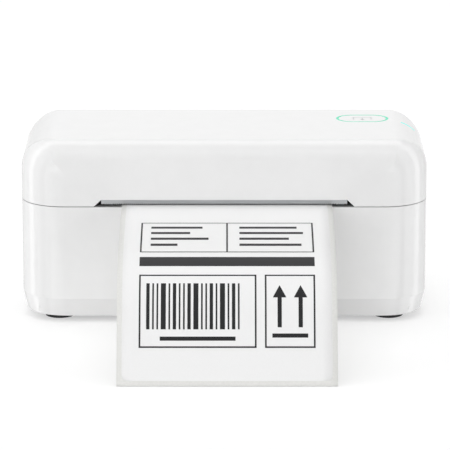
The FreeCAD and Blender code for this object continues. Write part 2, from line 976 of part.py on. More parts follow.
keep(box(
    "gap_sensor",
    ("sensor_x - sensor_width / 2", "sensor_x + sensor_width / 2"),
    ("front + sensor_setback - sensor_length / 2", "front + sensor_setback + sensor_length / 2"),
    ("deck_top - sensor_height", "deck_top"),
))


# Print frame: two steel side plates with feet, tied by a rod
MOTOR_SCREWS = [(f"motor_y + {end} * motor_screw_reach", "motor_z") for end in (-1, 1)]


def make_frame(side, sign):
    skin = beside(sign, "frame_half", "frame_out")
    whole = beside(sign, "frame_half - flange_width", "frame_out")
    bored = beside(sign, "frame_half - wall", "frame_out + wall")
    plate = join(
        f"frame_plate_{side}",
        box(
            f"frame_tall_{side}", skin, ("frame_start", "front + bay_depth - bay_margin"),
            ("frame_low", "deck_top"),
        ),
        box(
            f"frame_long_{side}", skin, ("frame_start", "frame_end"),
            ("frame_low", "deck_low - swing_clearance"),
        ),
        box(
            f"frame_flange_{side}", whole, ("frame_start", "frame_end"),
            ("frame_low", "frame_low + plate_thickness"),
        ),
    )
    holes = [
        rod(f"bush_hole_{side}", "x", "bush_radius + fit_clearance", bored, ("platen_y", "platen_z")),
        rod(
            f"tie_hole_{side}", "x", "screw_radius + fit_clearance", bored,
            ("front + tie_setback", "tie_height"),
        ),
    ]
    for number, (x, y) in enumerate(FRAME_POSTS):
        if number // 2 == (sign + 1) // 2:
            holes.append(rod(
                f"flange_hole_{number}", "z", "screw_radius + fit_clearance",
                ("frame_low - wall", "frame_low + wall"), (x, y),
            ))
    if side == "right":
        axle = ("reduction_y", "reduction_z")
        holes.append(rod("axle_hole", "x", "axle_radius + fit_clearance", bored, axle))
        holes.append(rod("motor_boss_hole", "x", "motor_boss_radius", bored, ("motor_y", "motor_z")))
        for number, spot in enumerate(MOTOR_SCREWS):
            holes.append(rod(f"motor_hole_{number}", "x", "screw_radius + fit_clearance", bored, spot))
    return keep(cut(f"frame_{side}", plate, *holes))


for side, sign in SIDES:
    make_frame(side, sign)

keep(cut(
    "tie_rod",
    rod("tie_bar", "x", "tie_radius", ("-frame_half", "frame_half"), ("front + tie_setback", "tie_height")),
    *[
        rod(
            f"tie_bore_{side}", "x", "screw_radius + fit_clearance",
            beside(sign, "frame_half - screw_grip", "frame_half"), ("front + tie_setback", "tie_height"),
        )
        for side, sign in SIDES
    ],
))
keep(group(
    "frame_screws",
    *[
        screw(f"frame_screw_{number}", "z", "frame_low + plate_thickness", "foot_height + wall / 2", spot, -1)
        for number, spot in enumerate(FRAME_POSTS)
    ],
    *[
        screw(
            f"tie_screw_{side}", "x", f"{sign} * frame_out", f"{sign} * (frame_half - screw_grip)",
            ("front + tie_setback", "tie_height"), -sign,
        )
        for side, sign in SIDES
    ],
))


# Platen roller, its shaft and bushes
PLATEN = ("0", "platen_y", "platen_z")
keep(turned(
    "platen_rubber",
    ring_profile("-platen_length / 2", "platen_length / 2", "shaft_radius + fit_clearance", "platen_radius"),
    PLATEN,
))
keep(turned(
    "platen_shaft",
    [
        ("-frame_out - shaft_stub", "0"),
        ("gear_end + gear_gap", "0"),
        ("gear_end + gear_gap", "shaft_radius"),
        ("-frame_out - shaft_stub", "shaft_radius"),
    ],
    PLATEN,
))
for side, sign in SIDES:
    inside, out = f"{sign} * (frame_half - bush_flange)", f"{sign} * (frame_out + bush_proud)"
    keep(turned(
        f"bushing_{side}",
        [
            (inside, "shaft_radius + running_clearance"),
            (out, "shaft_radius + running_clearance"),
            (out, "bush_radius"),
            (f"{sign} * frame_half", "bush_radius"),
            (f"{sign} * frame_half", "bush_flange_radius"),
            (inside, "bush_flange_radius"),
        ],
        PLATEN,
    ))


# Gears: involute stub teeth cut by formula
def involute(angle):
    return math.tan(angle) - angle


def gear_shape(teeth, module, width, bore, phase):
    """A spur gear along +X from the YZ plane, with one tooth at the angle phase from +Y to +Z."""
    flank_steps = 4
    slope = math.radians(size("pressure_angle"))
    pitch = module * teeth / 2
    tip = pitch + module * size("tooth_addendum")
    root = pitch - module * size("tooth_dedendum")
    base = pitch * math.cos(slope)
    half_tooth = math.pi / (2 * teeth) - size("tooth_backlash") / (2 * pitch)
    start = max(base, root)
    radii = [start + (tip - start) * step / flank_steps for step in range(flank_steps + 1)]
    flank = [(r, half_tooth + involute(slope) - involute(math.acos(base / r))) for r in radii]
    if root < base:
        flank.insert(0, (root, flank[0][1]))
    corners = []
    for tooth in range(teeth):
        middle = phase + math.tau * tooth / teeth
        for r, turn in flank:
            corners.append(Vector(0, r * math.cos(middle - turn), r * math.sin(middle - turn)))
        for r, turn in reversed(flank):
            corners.append(Vector(0, r * math.cos(middle + turn), r * math.sin(middle + turn)))
    face = Part.Face(Part.makePolygon(corners + corners[:1]))
    wheel = face.extrude(Vector(width, 0, 0))
    return wheel.cut(Part.makeCylinder(bore, width * 3, Vector(-width, 0, 0), Vector(1, 0, 0)))


def half_pitch(teeth):
    return math.pi / teeth


def make_gears():
    module = size("gear_module")
    width = size("gear_width")
    names = ("platen_teeth", "small_teeth", "large_teeth", "pinion_teeth")
    counts = {name: int(size(name)) for name in names}
    to_reduction = -math.radians(size("reduction_angle"))
    to_motor = -math.radians(size("motor_angle"))
    fit = size("fit_clearance")
    platen = solid("platen_gear", gear_shape(
        counts["platen_teeth"], module, width, size("shaft_radius") + fit, to_reduction,
    ))
    place_at(platen, ("outer_gear", "platen_y", "platen_z"))
    bore = size("axle_radius") + size("running_clearance")
    large = gear_shape(counts["large_teeth"], module, width, bore, to_motor)
    small = gear_shape(
        counts["small_teeth"], module, width + size("gear_gap"), bore,
        to_reduction + math.pi + half_pitch(counts["small_teeth"]),
    )
    small.translate(Vector(width, 0, 0))
    reduction = solid("reduction_gear", large.fuse(small))
    place_at(reduction, ("inner_gear", "reduction_y", "reduction_z"))
    pinion = solid("motor_pinion", gear_shape(
        counts["pinion_teeth"], module, width, size("motor_shaft_radius") + fit,
        to_motor + math.pi + half_pitch(counts["pinion_teeth"]),
    ))
    place_at(pinion, ("inner_gear", "motor_y", "motor_z"))
    for gear in (platen, reduction, pinion):
        keep(gear)


make_gears()
REDUCTION = ("0", "reduction_y", "reduction_z")
keep(turned(
    "reduction_axle",
    [
        ("frame_half", "0"),
        ("gear_end + axle_proud", "0"),
        ("gear_end + axle_proud", "axle_radius"),
        ("frame_half", "axle_radius"),
    ],
    REDUCTION,
))
keep(turned(
    "axle_clip",
    ring_profile(
        "gear_end + seat_clearance", "gear_end + seat_clearance + clip_ring_thickness",
        "axle_radius + fit_clearance", "axle_radius + clip_ring",
    ),
    REDUCTION,
))


# Stepper motor on the inside of the right plate
MOTOR = ("motor_y", "motor_z")


def make_motor():
    low = "frame_half - motor_flange - motor_length"
    can = rod("motor_can", "x", "motor_radius", (low, "frame_half - motor_flange"), MOTOR)
    flange = box(
        "motor_flange_plate",
        ("frame_half - motor_flange", "frame_half"),
        (
            "motor_y - motor_screw_reach - screw_head_radius",
            "motor_y + motor_screw_reach + screw_head_radius",
        ),
        ("motor_z - motor_flange_height / 2", "motor_z + motor_flange_height / 2"),
    )
    boss = rod(
        "motor_boss", "x", "motor_boss_radius - seat_clearance",
        ("frame_half - motor_flange", "frame_out"), MOTOR,
    )
    holes = [rod(
        "motor_bore", "x", "motor_shaft_radius + running_clearance",
        ("frame_half - motor_shaft_inside - seat_clearance", "frame_out + wall"), MOTOR,
    )]
    for number, spot in enumerate(MOTOR_SCREWS):
        holes.append(rod(
            f"flange_screw_hole_{number}", "x", "screw_radius + fit_clearance",
            ("frame_half - wall", "frame_out + wall"), spot,
        ))
    return keep(cut("stepper_motor", join("motor_whole", can, flange, boss), *holes))


make_motor()
keep(group("motor_screws", *[
    screw(f"motor_screw_{number}", "x", "frame_half - motor_flange", "frame_out", spot, 1)
    for number, spot in enumerate(MOTOR_SCREWS)
]))
keep(turned(
    "motor_shaft",
    [
        ("frame_half - motor_shaft_inside", "0"),
        ("inner_gear + gear_width + gear_gap", "0"),
        ("inner_gear + gear_width + gear_gap", "motor_shaft_radius"),
        ("frame_half - motor_shaft_inside", "motor_shaft_radius"),
    ],
    ("0", "motor_y", "motor_z"),
))


# Media guides: two walls on the deck, each with a rack under it, turned by one pinion
def rack_shape(sign):
    """The rack of the left (-1) or right (1) guide, its teeth facing the pinion."""
    module = size("rack_module")
    pitch = math.pi * module
    slope = math.tan(math.radians(size("pressure_angle")))
    crest = module * size("tooth_addendum")
    root = module * size("tooth_dedendum")
    half_tooth = pitch / 4 - size("tooth_backlash") / 2
    outer_x = size("guide_x") + size("guide_wall")
    inner_x = -size("rack_overrun")
    line_y = size("rack_reach")
    back_y = line_y + size("rack_depth")
    corners = [Vector(outer_x, back_y), Vector(inner_x, back_y), Vector(inner_x, line_y + root)]
    first = math.ceil((inner_x + half_tooth + root * slope) / pitch - 0.5)
    last = math.floor((outer_x - half_tooth - root * slope) / pitch - 0.5)
    for number in range(first, last + 1):
        middle = (number + 0.5) * pitch
        wide, narrow = half_tooth + root * slope, half_tooth - crest * slope
        corners.append(Vector(middle - wide, line_y + root))
        corners.append(Vector(middle - narrow, line_y - crest))
        corners.append(Vector(middle + narrow, line_y - crest))
        corners.append(Vector(middle + wide, line_y + root))
    corners.append(Vector(outer_x, line_y + root))
    flipped = [Vector(sign * c.x, sign * c.y) for c in corners]
    return Part.Face(Part.makePolygon(flipped + flipped[:1])).extrude(Vector(0, 0, size("rack_height")))


def make_guide(side, sign):
    rack = solid(f"guide_rack_{side}", rack_shape(sign))
    place_at(rack, ("0", "rack_y", "rack_low"))
    row = f"rack_y + {sign} * (rack_reach + rack_depth / 2)"
    stem_y = (f"{row} - rack_depth / 2 + slide_clearance * 2", f"{row} + rack_depth / 2 - slide_clearance")
    length = ("front + guide_start", "front + guide_start + guide_length")
    outside = "guide_x + guide_wall"
    return keep(join(
        f"guide_{side}",
        rack,
        box(
            f"guide_stem_{side}", beside(sign, f"{outside} - guide_stem", outside), stem_y,
            ("rack_low", "guide_low + guide_foot_thickness"),
        ),
        box(
            f"guide_foot_{side}", beside(sign, f"{outside} - guide_foot", outside), length,
            ("guide_low", "guide_low + guide_foot_thickness"),
        ),
        box(
            f"guide_fence_{side}", beside(sign, "guide_x", outside), length,
            ("guide_low", "guide_low + guide_height"),
        ),
    ))


for side, sign in SIDES:
    make_guide(side, sign)


def make_guide_pinion():
    wheel = gear_shape(
        int(size("rack_teeth")), size("rack_module"), size("rack_height"),
        size("axle_radius") + size("running_clearance"), 0,
    )
    wheel.rotate(Vector(), Vector(0, 1, 0), -90)
    pinion = solid("guide_pinion", wheel)
    place_at(pinion, ("0", "rack_y", "rack_low"))
    return keep(pinion)


make_guide_pinion()
keep(join(
    "pinion_screw",
    rod(
        "pinion_screw_head", "z", "pinion_head_radius",
        ("rack_low - slide_clearance - pinion_head", "rack_low - slide_clearance"), ("0", "rack_y"),
    ),
    rod(
        "pinion_screw_shank", "z", "screw_radius",
        ("rack_low - slide_clearance", "deck_low - seat_clearance"), ("0", "rack_y"),
    ),
))


# Main board with its parts and the rear connectors
def make_mainboard():
    board = box(
        "mainboard_blank", ("-board_left", "board_right"), ("front + board_start", "board_rear"),
        ("board_low", "board_top"),
    )
    holes = [
        rod(
            f"board_hole_{number}", "z", "screw_radius + fit_clearance",
            ("board_low - wall", "board_top + wall"), spot,
        )
        for number, spot in enumerate(BOARD_POSTS)
    ]
    return keep(cut("mainboard", board, *holes))


make_mainboard()
keep(group("board_screws", *[
    screw(f"board_screw_{number}", "z", "board_top", "foot_height + wall / 2", spot, -1)
    for number, spot in enumerate(BOARD_POSTS)
]))


def make_board_parts():
    """Chips, connectors and capacitors, placed from the board's left front corner."""
    pieces = []
    for name in BOARD_BLOCKS:
        left, near_edge = f"-board_left + {name}_x", f"front + board_start + {name}_y"
        pieces.append(box(
            name,
            (left, f"{left} + {name}_width"),
            (near_edge, f"{near_edge} + {name}_depth"),
            ("board_top", f"board_top + {name}_height"),
        ))
    for name in BOARD_CANS:
        pieces.append(rod(
            name, "z", "capacitor_radius", ("board_top", "board_top + capacitor_height"),
            (f"-board_left + {name}_x", f"front + board_start + {name}_y"),
        ))
    return keep(group("mainboard_parts", *pieces))


make_board_parts()


def make_dc_jack():
    block = box(
        "dc_block", ("-dc_x - dc_width / 2", "-dc_x + dc_width / 2"),
        ("inner_rear - dc_length", "inner_rear"),
        ("board_top", "board_top + dc_height"),
    )
    bore = rod("dc_bore", "y", "dc_bore_radius", ("inner_rear - dc_bore_depth", "rear"), ("-dc_x", "dc_z"))
    pin = rod(
        "dc_pin", "y", "dc_pin_radius",
        ("inner_rear - dc_bore_depth - wall / 2", "inner_rear - seat_clearance"),
        ("-dc_x", "dc_z"),
    )
    return keep(join("dc_jack", cut("dc_shell", block, bore), pin))


make_dc_jack()


def make_usb_socket():
    def slab(label, width, height, y):
        return box(
            label, (f"-usb_x - {width} / 2", f"-usb_x + {width} / 2"), y,
            (f"usb_z - {height} / 2", f"usb_z + {height} / 2"),
        )
    shell = cut(
        "usb_shell",
        slab("usb_block", "usb_width", "usb_height", ("inner_rear - usb_length", "inner_rear")),
        slab(
            "usb_cavity", "usb_cavity_width", "usb_cavity_height",
            ("inner_rear - usb_cavity_depth", "rear"),
        ),
    )
    tongue = slab(
        "usb_tongue", "usb_tongue_width", "usb_tongue_height",
        ("inner_rear - usb_cavity_depth - wall / 2", "inner_rear - seat_clearance"),
    )
    return keep(join("usb_socket", shell, tongue))


make_usb_socket()


# Power rocker in its body behind the rear wall
def make_switch():
    opening_x = ("switch_x - switch_opening_width / 2", "switch_x + switch_opening_width / 2")
    opening_z = ("switch_z - switch_opening_height / 2", "switch_z + switch_opening_height / 2")
    block = box(
        "switch_block",
        ("switch_x - switch_width / 2", "switch_x + switch_width / 2"),
        ("inner_rear - switch_depth", "inner_rear"),
        ("switch_z - switch_height / 2", "switch_z + switch_height / 2"),
    )
    well = box("switch_well", opening_x, ("inner_rear - rocker_well", "rear"), opening_z)
    stub_z = (
        "switch_z - switch_opening_height / 2 - rocker_stub - seat_clearance",
        "switch_z + switch_opening_height / 2 + rocker_stub + seat_clearance",
    )
    pivot = ("switch_x", "rear - rocker_pivot_depth")
    sockets = rod("rocker_sockets", "z", "rocker_pivot_radius + running_clearance", stub_z, pivot)
    keep(cut("switch_body", block, well, sockets))

    rocker = new_body("switch_rocker")
    profile = new_sketch(rocker, "XY_Plane", "rocker_profile")
    outline(profile, [
        ("-rocker_half", "-rocker_base"),
        ("rocker_half", "-rocker_base"),
        ("rocker_half", "rocker_crest"),
        ("0", "rocker_dip"),
        ("-rocker_half", "rocker_crest"),
    ])
    paddle = pad(rocker, profile, "rocker_height", "rocker_paddle")
    paddle.Midplane = True
    stub_plan = new_sketch(rocker, "XY_Plane", "rocker_stub_plan")
    circle(stub_plan, "rocker_pivot_radius", ("0", "0"))
    stubs = pad(rocker, stub_plan, "switch_opening_height + rocker_stub * 2", "rocker_stubs")
    stubs.Midplane = True
    rocker.Placement = Placement(Vector(), Rotation(Vector(0, 0, 1), 1))
    rocker.setExpression("Placement.Rotation.Angle", ex("rocker_tilt"))
    place_at(rocker, (*pivot, "switch_z"))
    keep(rocker)


make_switch()


# Label and liner: level through the nip, a long glide over the lip, a fold, then a fall to the table
def strip_shape(low, high, width, tail, tip, corner):
    """A strip between two heights above the liner's underside, its ends trimmed by tail and tip."""
    glide = math.radians(size("label_glide_angle"))
    fall = math.radians(size("label_fall_angle"))
    fold = size("label_fold_radius")
    start_y = size("platen_y") + size("label_tail") - tail
    exit_y = size("front") + size("wall") / 2
    height = size("paper_z")
    drop = height - size("label_clearance")
    ahead = size("label_reach") + exit_y - size("front")
    # Two tangent conditions give the glide's radius and the straight fall's length
    rise_left = drop - fold * (math.cos(glide) - math.cos(fall))
    run_left = ahead - fold * (math.sin(fall) - math.sin(glide))
    turn = (1 - math.cos(glide)) * math.cos(fall) - math.sin(glide) * math.sin(fall)
    glide_radius = (rise_left * math.cos(fall) - run_left * math.sin(fall)) / turn
    straight = (rise_left - glide_radius * (1 - math.cos(glide))) / math.sin(fall)

    def spot(lift, angle, centre_run, centre_z, radius):
        run = centre_run + (radius + lift) * math.sin(angle)
        return Vector(0, exit_y - run, centre_z + (radius + lift) * math.cos(angle))

    fold_run = (glide_radius - fold) * math.sin(glide)
    fold_z = height - glide_radius + (glide_radius - fold) * math.cos(glide)
    along = Vector(0, -math.cos(fall), -math.sin(fall))

    def path(lift):
        first = Vector(0, start_y, height + lift)
        glide_turns = (0, glide / 2, glide)
        fold_turns = (glide, (glide + fall) / 2, fall)
        glide_spots = [spot(lift, turn, 0, height - glide_radius, glide_radius) for turn in glide_turns]
        fold_spots = [spot(lift, turn, fold_run, fold_z, fold) for turn in fold_turns]
        return first, glide_spots, fold_spots, fold_spots[-1] + along * (straight - tip)

    def edges(lift):
        first, glide_spots, fold_spots, last = path(lift)
        return [
            Part.LineSegment(first, glide_spots[0]).toShape(),
            Part.Arc(*glide_spots).toShape(),
            Part.Arc(*fold_spots).toShape(),
            Part.LineSegment(fold_spots[-1], last).toShape(),
        ]

    under, over = path(low), path(high)
    ends = [Part.LineSegment(under[end], over[end]).toShape() for end in (0, -1)]
    wire = Part.Wire(Part.__sortEdges__(edges(low) + edges(high) + ends))
    strip = Part.Face(wire).extrude(Vector(width, 0, 0))
    strip.translate(Vector(size("label_offset") - width / 2, 0, 0))
    if corner:
        tip_z = max(under[-1].z, over[-1].z) + corner
        tail_y = start_y - corner

        def is_corner(edge):
            middle = edge.CenterOfMass
            thin = edge.Length < high - low + NEAR
            return thin and edge.BoundBox.XLength < NEAR and (middle.z < tip_z or middle.y > tail_y)
        strip = strip.makeFillet(corner, [edge for edge in strip.Edges if is_corner(edge)])
    used = start_y - exit_y + glide_radius * glide + fold * (fall - glide) + straight - tip
    return strip, used


def make_label():
    liner, used = strip_shape(0, size("liner_thickness"), size("liner_width"), 0, 0, 0)
    keep(solid("label_liner", liner))
    tail = used - size("label_margin") - size("label_length")
    label, label_used = strip_shape(
        size("liner_thickness"), size("liner_thickness") + size("label_thickness"), size("label_width"),
        tail, size("label_margin"), size("label_corner"),
    )
    keep(solid("printed_label", label))
    print(f"liner {used:.1f} mm long, label {label_used:.1f} mm")


make_label()


# Upper cover: the shell above the seam
def capsule(label, length, depth, z):
    """An upright prism of a capsule plan round the button's centre."""
    radius = f"({depth}) / 2"
    reach = f"(({length}) - ({depth})) / 2"
    return join(
        label,
        box(
            f"{label}_middle", (f"button_mid - {reach}", f"button_mid + {reach}"),
            (f"button_y - {radius}", f"button_y + {radius}"), z,
        ),
        rod(f"{label}_left", "z", radius, z, (f"button_mid - {reach}", "button_y")),
        rod(f"{label}_right", "z", radius, z, (f"button_mid + {reach}", "button_y")),
    )


def light_bar(label, grow):
    return box(
        label, (f"half - light_start - {grow}", f"half - light_end + {grow}"),
        (f"light_y - light_width / 2 - {grow}", f"light_y + light_width / 2 + {grow}"), THROUGH_TOP,
    )


COVER_BOSSES = [
    (f"{sign} * (half - cover_boss_x)", y)
    for _, sign in SIDES
    for y in ("front + cover_boss_front", "front + cover_boss_rear")
]


def notch():
    """The slanted opening over the label exit, as a wedge narrowing upwards."""
    made = doc.addObject("Part::Wedge", "exit_notch")
    made.Placement = Placement(Vector(), Rotation(Vector(1, 0, 0), 90))
    for name, formula in {
        "Xmin": "-notch_width / 2",
        "Xmax": "notch_width / 2",
        "X2min": "-notch_width / 2 + notch_slant",
        "X2max": "notch_width / 2 - notch_slant",
        "Ymin": "0",
        "Ymax": "notch_height",
        "Zmin": "-wall * 1.5",
        "Z2min": "-wall * 1.5",
        "Zmax": "wall",
        "Z2max": "wall",
    }.items():
        made.setExpression(name, ex(formula))
    place_at(made, ("0", "front", "cover_low"))
    return made


def make_upper_cover():
    above = box("above_seam", EVERY_X, EVERY_Y, ("cover_low", "body_height + wall"))
    shell = cut("cover_shell", meet("cover_block", outer_form, above), inner_form)
    axis = ("hinge_y", "hinge_z")
    wide = ("-half", "half")
    barrel = cut(
        "barrel_wall",
        rod("barrel_outside", "x", "knuckle_radius", wide, axis),
        rod("barrel_inside", "x", "knuckle_radius - wall", EVERY_X, axis),
        box("barrel_front", EVERY_X, ("hinge_y - body_depth", "hinge_y"), ("0", "body_height")),
        box("barrel_top", EVERY_X, ("hinge_y - body_depth", "rear"), ("hinge_z", "body_height")),
    )
    added = [shell, meet("barrel_edge", barrel, outer_form)]
    waste = cut(
        "barrel_waste",
        box("waste_block", EVERY_X, ("hinge_y", "rear + wall"), ("seam_height", "hinge_z")),
        rod("waste_core", "x", "knuckle_radius", EVERY_X, axis),
    )
    holes = [
        waste,
        notch(),
        box(
            "media_slot", ("-media_slot_width / 2", "media_slot_width / 2"),
            ("hinge_y - knuckle_radius", "rear + wall"), ("seam_height", "cover_low + media_slot_height"),
        ),
        capsule(
            "ring_seat", "ring_length + fit_clearance * 2", "ring_depth + fit_clearance * 2",
            THROUGH_TOP,
        ),
        light_bar("light_slot", "fit_clearance"),
    ]
    for side, sign in SIDES:
        for place, low in (("inner", "knuckle_start - swing_clearance - lug_width"),
                           ("outer", "knuckle_end + swing_clearance")):
            added.append(rod(
                f"cover_lug_{place}_{side}", "x", "knuckle_radius",
                beside(sign, low, f"{low} + lug_width"), axis,
            ))
        gap = beside(sign, "knuckle_start - swing_clearance", "knuckle_end + swing_clearance")
        holes.append(rod(f"knuckle_room_{side}", "x", "knuckle_radius + swing_clearance * 2", gap, axis))
        holes.append(box(
            f"neck_room_{side}", gap, ("hinge_y - knuckle_radius - swing_clearance", "rear + wall"),
            ("seam_height", "hinge_z"),
        ))
        holes.append(rod(
            f"pin_bore_{side}", "x", "hinge_pin_radius + fit_clearance",
            beside(sign, "knuckle_start - lug_width * 2", "knuckle_end + lug_width * 2"), axis,
        ))
    for number, (x, y) in enumerate(COVER_BOSSES):
        added.append(rod(
            f"cover_boss_{number}", "z", "cover_boss_radius",
            ("carrier_top", "ceiling + boss_root"), (x, y),
        ))
        holes.append(rod(
            f"boss_hole_{number}", "z", "screw_radius + fit_clearance",
            ("carrier_low", "carrier_low + screw_grip"), (x, y),
        ))
    return keep(cut("upper_cover", join("cover_with_fittings", *added), *holes))


make_upper_cover()
keep(group("hinge_pins", *[
    rod(
        f"hinge_pin_{side}", "x", "hinge_pin_radius",
        beside(
            sign, "knuckle_start - swing_clearance - lug_width", "knuckle_end + swing_clearance + lug_width",
        ),
        ("hinge_y", "hinge_z"),
    )
    for side, sign in SIDES
]))


# Button, its lit ring, the status light and their board
keep(meet(
    "light_ring",
    cut(
        "ring_prism",
        capsule("ring_outside", "ring_length", "ring_depth", ("ring_low", "body_height + wall")),
        capsule("ring_inside", "ring_length - ring_width * 2", "ring_depth - ring_width * 2", THROUGH_TOP),
    ),
    outer_form,
))
CAP_LENGTH = "ring_length - ring_width * 2 - button_gap * 2"
CAP_DEPTH = "ring_depth - ring_width * 2 - button_gap * 2"
keep(join(
    "button_cap",
    meet(
        "cap_top",
        capsule("cap_prism", CAP_LENGTH, CAP_DEPTH, ("flange_low", "body_height + wall")),
        outer_form,
    ),
    capsule(
        "cap_flange", f"{CAP_LENGTH} + button_flange * 2", f"{CAP_DEPTH} + button_flange * 2",
        ("flange_low", "flange_top"),
    ),
))
keep(cut("status_light", meet("light_skin", light_bar("light_prism", "0"), outer_form), inner_form))
keep(box(
    "button_board",
    ("button_mid - button_board_width / 2", "button_mid + button_board_width / 2"),
    ("button_y - button_board_depth / 2", "button_y + button_board_depth / 2"),
    ("carrier_top", "button_board_top"),
))
keep(join(
    "tact_switch",
    box(
        "tact_block", ("button_mid - tact_size / 2", "button_mid + tact_size / 2"),
        ("button_y - tact_size / 2", "button_y + tact_size / 2"),
        ("button_board_top", "button_board_top + tact_height"),
    ),
    rod(
        "tact_plunger", "z", "tact_plunger_radius",
        ("button_board_top + tact_height", "flange_low - button_travel - seat_clearance"),
        ("button_mid", "button_y"),
    ),
))
keep(group("led_chips", *[
    box(
        f"led_{x_end}_{y_end}",
        (f"{x} - led_size / 2", f"{x} + led_size / 2"),
        (f"{y} - led_size / 2", f"{y} + led_size / 2"),
        ("button_board_top", "button_board_top + led_height"),
    )
    for x_end, x in ((end, f"button_mid + {end} * (ring_length / 2 - led_end_inset)") for end in (-1, 1))
    for y_end, y in ((end, f"button_y + {end} * (ring_depth / 2 - led_side_inset)") for end in (-1, 1))
]))


# Cover frame, which carries the head, the tear bar and the latch clips
def make_cover_frame():
    plate_z = ("carrier_low", "carrier_top")
    added = [
        box(
            "carrier_plate", ("-half + cover_frame_side", "half - cover_frame_side"),
            ("front + skirt_setback", "rear - cover_frame_rear"), plate_z,
        ),
        box(
            "tear_skirt", ("-skirt_half", "skirt_half"),
            ("front + skirt_setback", "front + skirt_setback + skirt_thickness"),
            ("label_top + skirt_clearance", "carrier_top"),
        ),
    ]
    holes = []
    for side, sign in SIDES:
        added.append(box(
            f"pivot_ear_{side}", beside(sign, "pivot_ear_x", "pivot_ear_x + pivot_ear"),
            ("pivot_y - pivot_ear_depth / 2", "pivot_y + pivot_ear_depth / 2"),
            ("pivot_z - pivot_ear_depth / 2", "carrier_top"),
        ))
        added.append(box(
            f"latch_tab_{side}", beside(sign, "half - cover_frame_side - wall", "clip_x + clip_tab"),
            ("clip_y - clip_width / 2", "clip_y + clip_width / 2"), plate_z,
        ))
        cup = (f"{sign} * spring_x", "platen_y")
        added.append(rod(f"spring_cup_{side}", "z", "cup_radius + cup_wall", ("carrier_low", "cup_top"), cup))
        holes.append(rod(f"cup_bore_{side}", "z", "cup_radius", ("carrier_low - wall", "spring_seat"), cup))
        holes.append(box(
            f"ear_relief_{side}",
            beside(sign, "ear_x - swing_clearance", "ear_x + bracket_thickness + swing_clearance"),
            ("pivot_y - ear_width / 2 - swing_clearance", "pivot_y + ear_width / 2 + swing_clearance"),
            plate_z,
        ))
        holes.append(rod(
            f"tear_hole_{side}", "y", "screw_radius + fit_clearance",
            ("front", "front + skirt_setback + skirt_thickness"),
            (f"{sign} * tear_screw_x", "tear_low + tear_height / 2"),
        ))
    holes.append(rod(
        "pivot_bore", "x", "pivot_radius + fit_clearance", EVERY_X, ("pivot_y", "pivot_z"),
    ))
    for number, spot in enumerate(COVER_BOSSES):
        holes.append(rod(
            f"carrier_hole_{number}", "z", "screw_radius + fit_clearance",
            ("carrier_low - wall", "carrier_top + wall"), spot,
        ))
    return keep(cut("cover_frame", join("carrier_whole", *added), *holes))


make_cover_frame()
keep(group("cover_screws", *[
    screw(f"cover_screw_{number}", "z", "carrier_low", "carrier_low + screw_grip", spot, 1)
    for number, spot in enumerate(COVER_BOSSES)
]))


def make_latch_clip(side, sign):
    """A spring steel strip under the cover frame, with a hook below the housing's catch."""
    width = ("clip_y - clip_width / 2", "clip_y + clip_width / 2")
    strip = beside(sign, "clip_x", "clip_x + clip_thickness")
    hook_top = "catch_low - swing_clearance"
    return keep(join(
        f"latch_clip_{side}",
        box(f"clip_strip_{side}", strip, width, (f"{hook_top} - clip_hook_height", "carrier_low")),
        box(
            f"clip_hook_{side}", beside(sign, "clip_x", "hook_tip"), width,
            (f"{hook_top} - clip_hook_height", hook_top),
        ),
        box(
            f"clip_foot_{side}", beside(sign, "clip_x - clip_foot", "clip_x + clip_thickness"), width,
            ("carrier_low - clip_thickness", "carrier_low"),
        ),
    ))


for side, sign in SIDES:
    make_latch_clip(side, sign)


# Tear bar: a steel strip screwed to the frame's skirt, stepped forward to a saw-toothed blade in the notch
def make_tear_bar():
    left = -size("tear_half")
    count = round(-left * 2 / size("tear_tooth"))
    tooth = -left * 2 / count
    corners = []
    for number in range(count):
        corners.append(Vector(left + number * tooth, 0, size("tear_tooth_depth")))
        corners.append(Vector(left + (number + 0.5) * tooth, 0, 0))
    corners.append(Vector(-left, 0, size("tear_tooth_depth")))
    corners.append(Vector(-left, 0, size("tear_blade")))
    corners.append(Vector(left, 0, size("tear_blade")))
    teeth = Part.Face(Part.makePolygon(corners + corners[:1])).extrude(Vector(0, size("tear_thickness"), 0))
    blade = solid("tear_teeth", teeth)
    place_at(blade, ("0", "tear_front - tear_step", "tear_low"))
    wide = ("-tear_half", "tear_half")
    step_low = "tear_low + tear_blade - tear_thickness"
    step = box(
        "tear_fold", wide, ("tear_front - tear_step", "tear_front + tear_thickness"),
        (step_low, "tear_low + tear_blade"),
    )
    strip = box(
        "tear_strip", wide, ("tear_front", "tear_front + tear_thickness"),
        (step_low, "tear_low + tear_height"),
    )
    holes = [
        rod(
            f"blade_hole_{side}", "y", "screw_radius + fit_clearance",
            ("front", "front + skirt_setback + wall"),
            (f"{sign} * tear_screw_x", "tear_low + tear_height / 2"),
        )
        for side, sign in SIDES
    ]
    return keep(cut("tear_bar", join("tear_bent", blade, step, strip), *holes))


make_tear_bar()


def make_tear_screws():
    pieces = []
    for side, sign in SIDES:
        at = (f"{sign} * tear_screw_x", "tear_low + tear_height / 2")
        pieces.append(join(
            f"tear_screw_{side}",
            rod(
                f"tear_head_{side}", "y", "screw_head_radius",
                ("tear_front - tear_screw_head", "tear_front"), at,
            ),
            rod(
                f"tear_shank_{side}", "y", "screw_radius",
                ("tear_front", "front + skirt_setback + skirt_thickness"), at,
            ),
        ))
    return keep(group("tear_bar_screws", *pieces))


make_tear_screws()


# Print head: ceramic heater and driver board under a heat sink, on a bracket that pivots on a rod
keep(box(
    "print_head",
    ("-head_width / 2", "head_width / 2"),
    ("platen_y - head_ahead", "platen_y - head_ahead + head_depth"),
    ("head_z", "sink_low"),
))
keep(box(
    "head_board",
    ("-head_board_width / 2", "head_board_width / 2"),
    ("platen_y - head_ahead + head_depth + head_board_gap", "sink_rear"),
    ("head_z", "sink_low"),
))


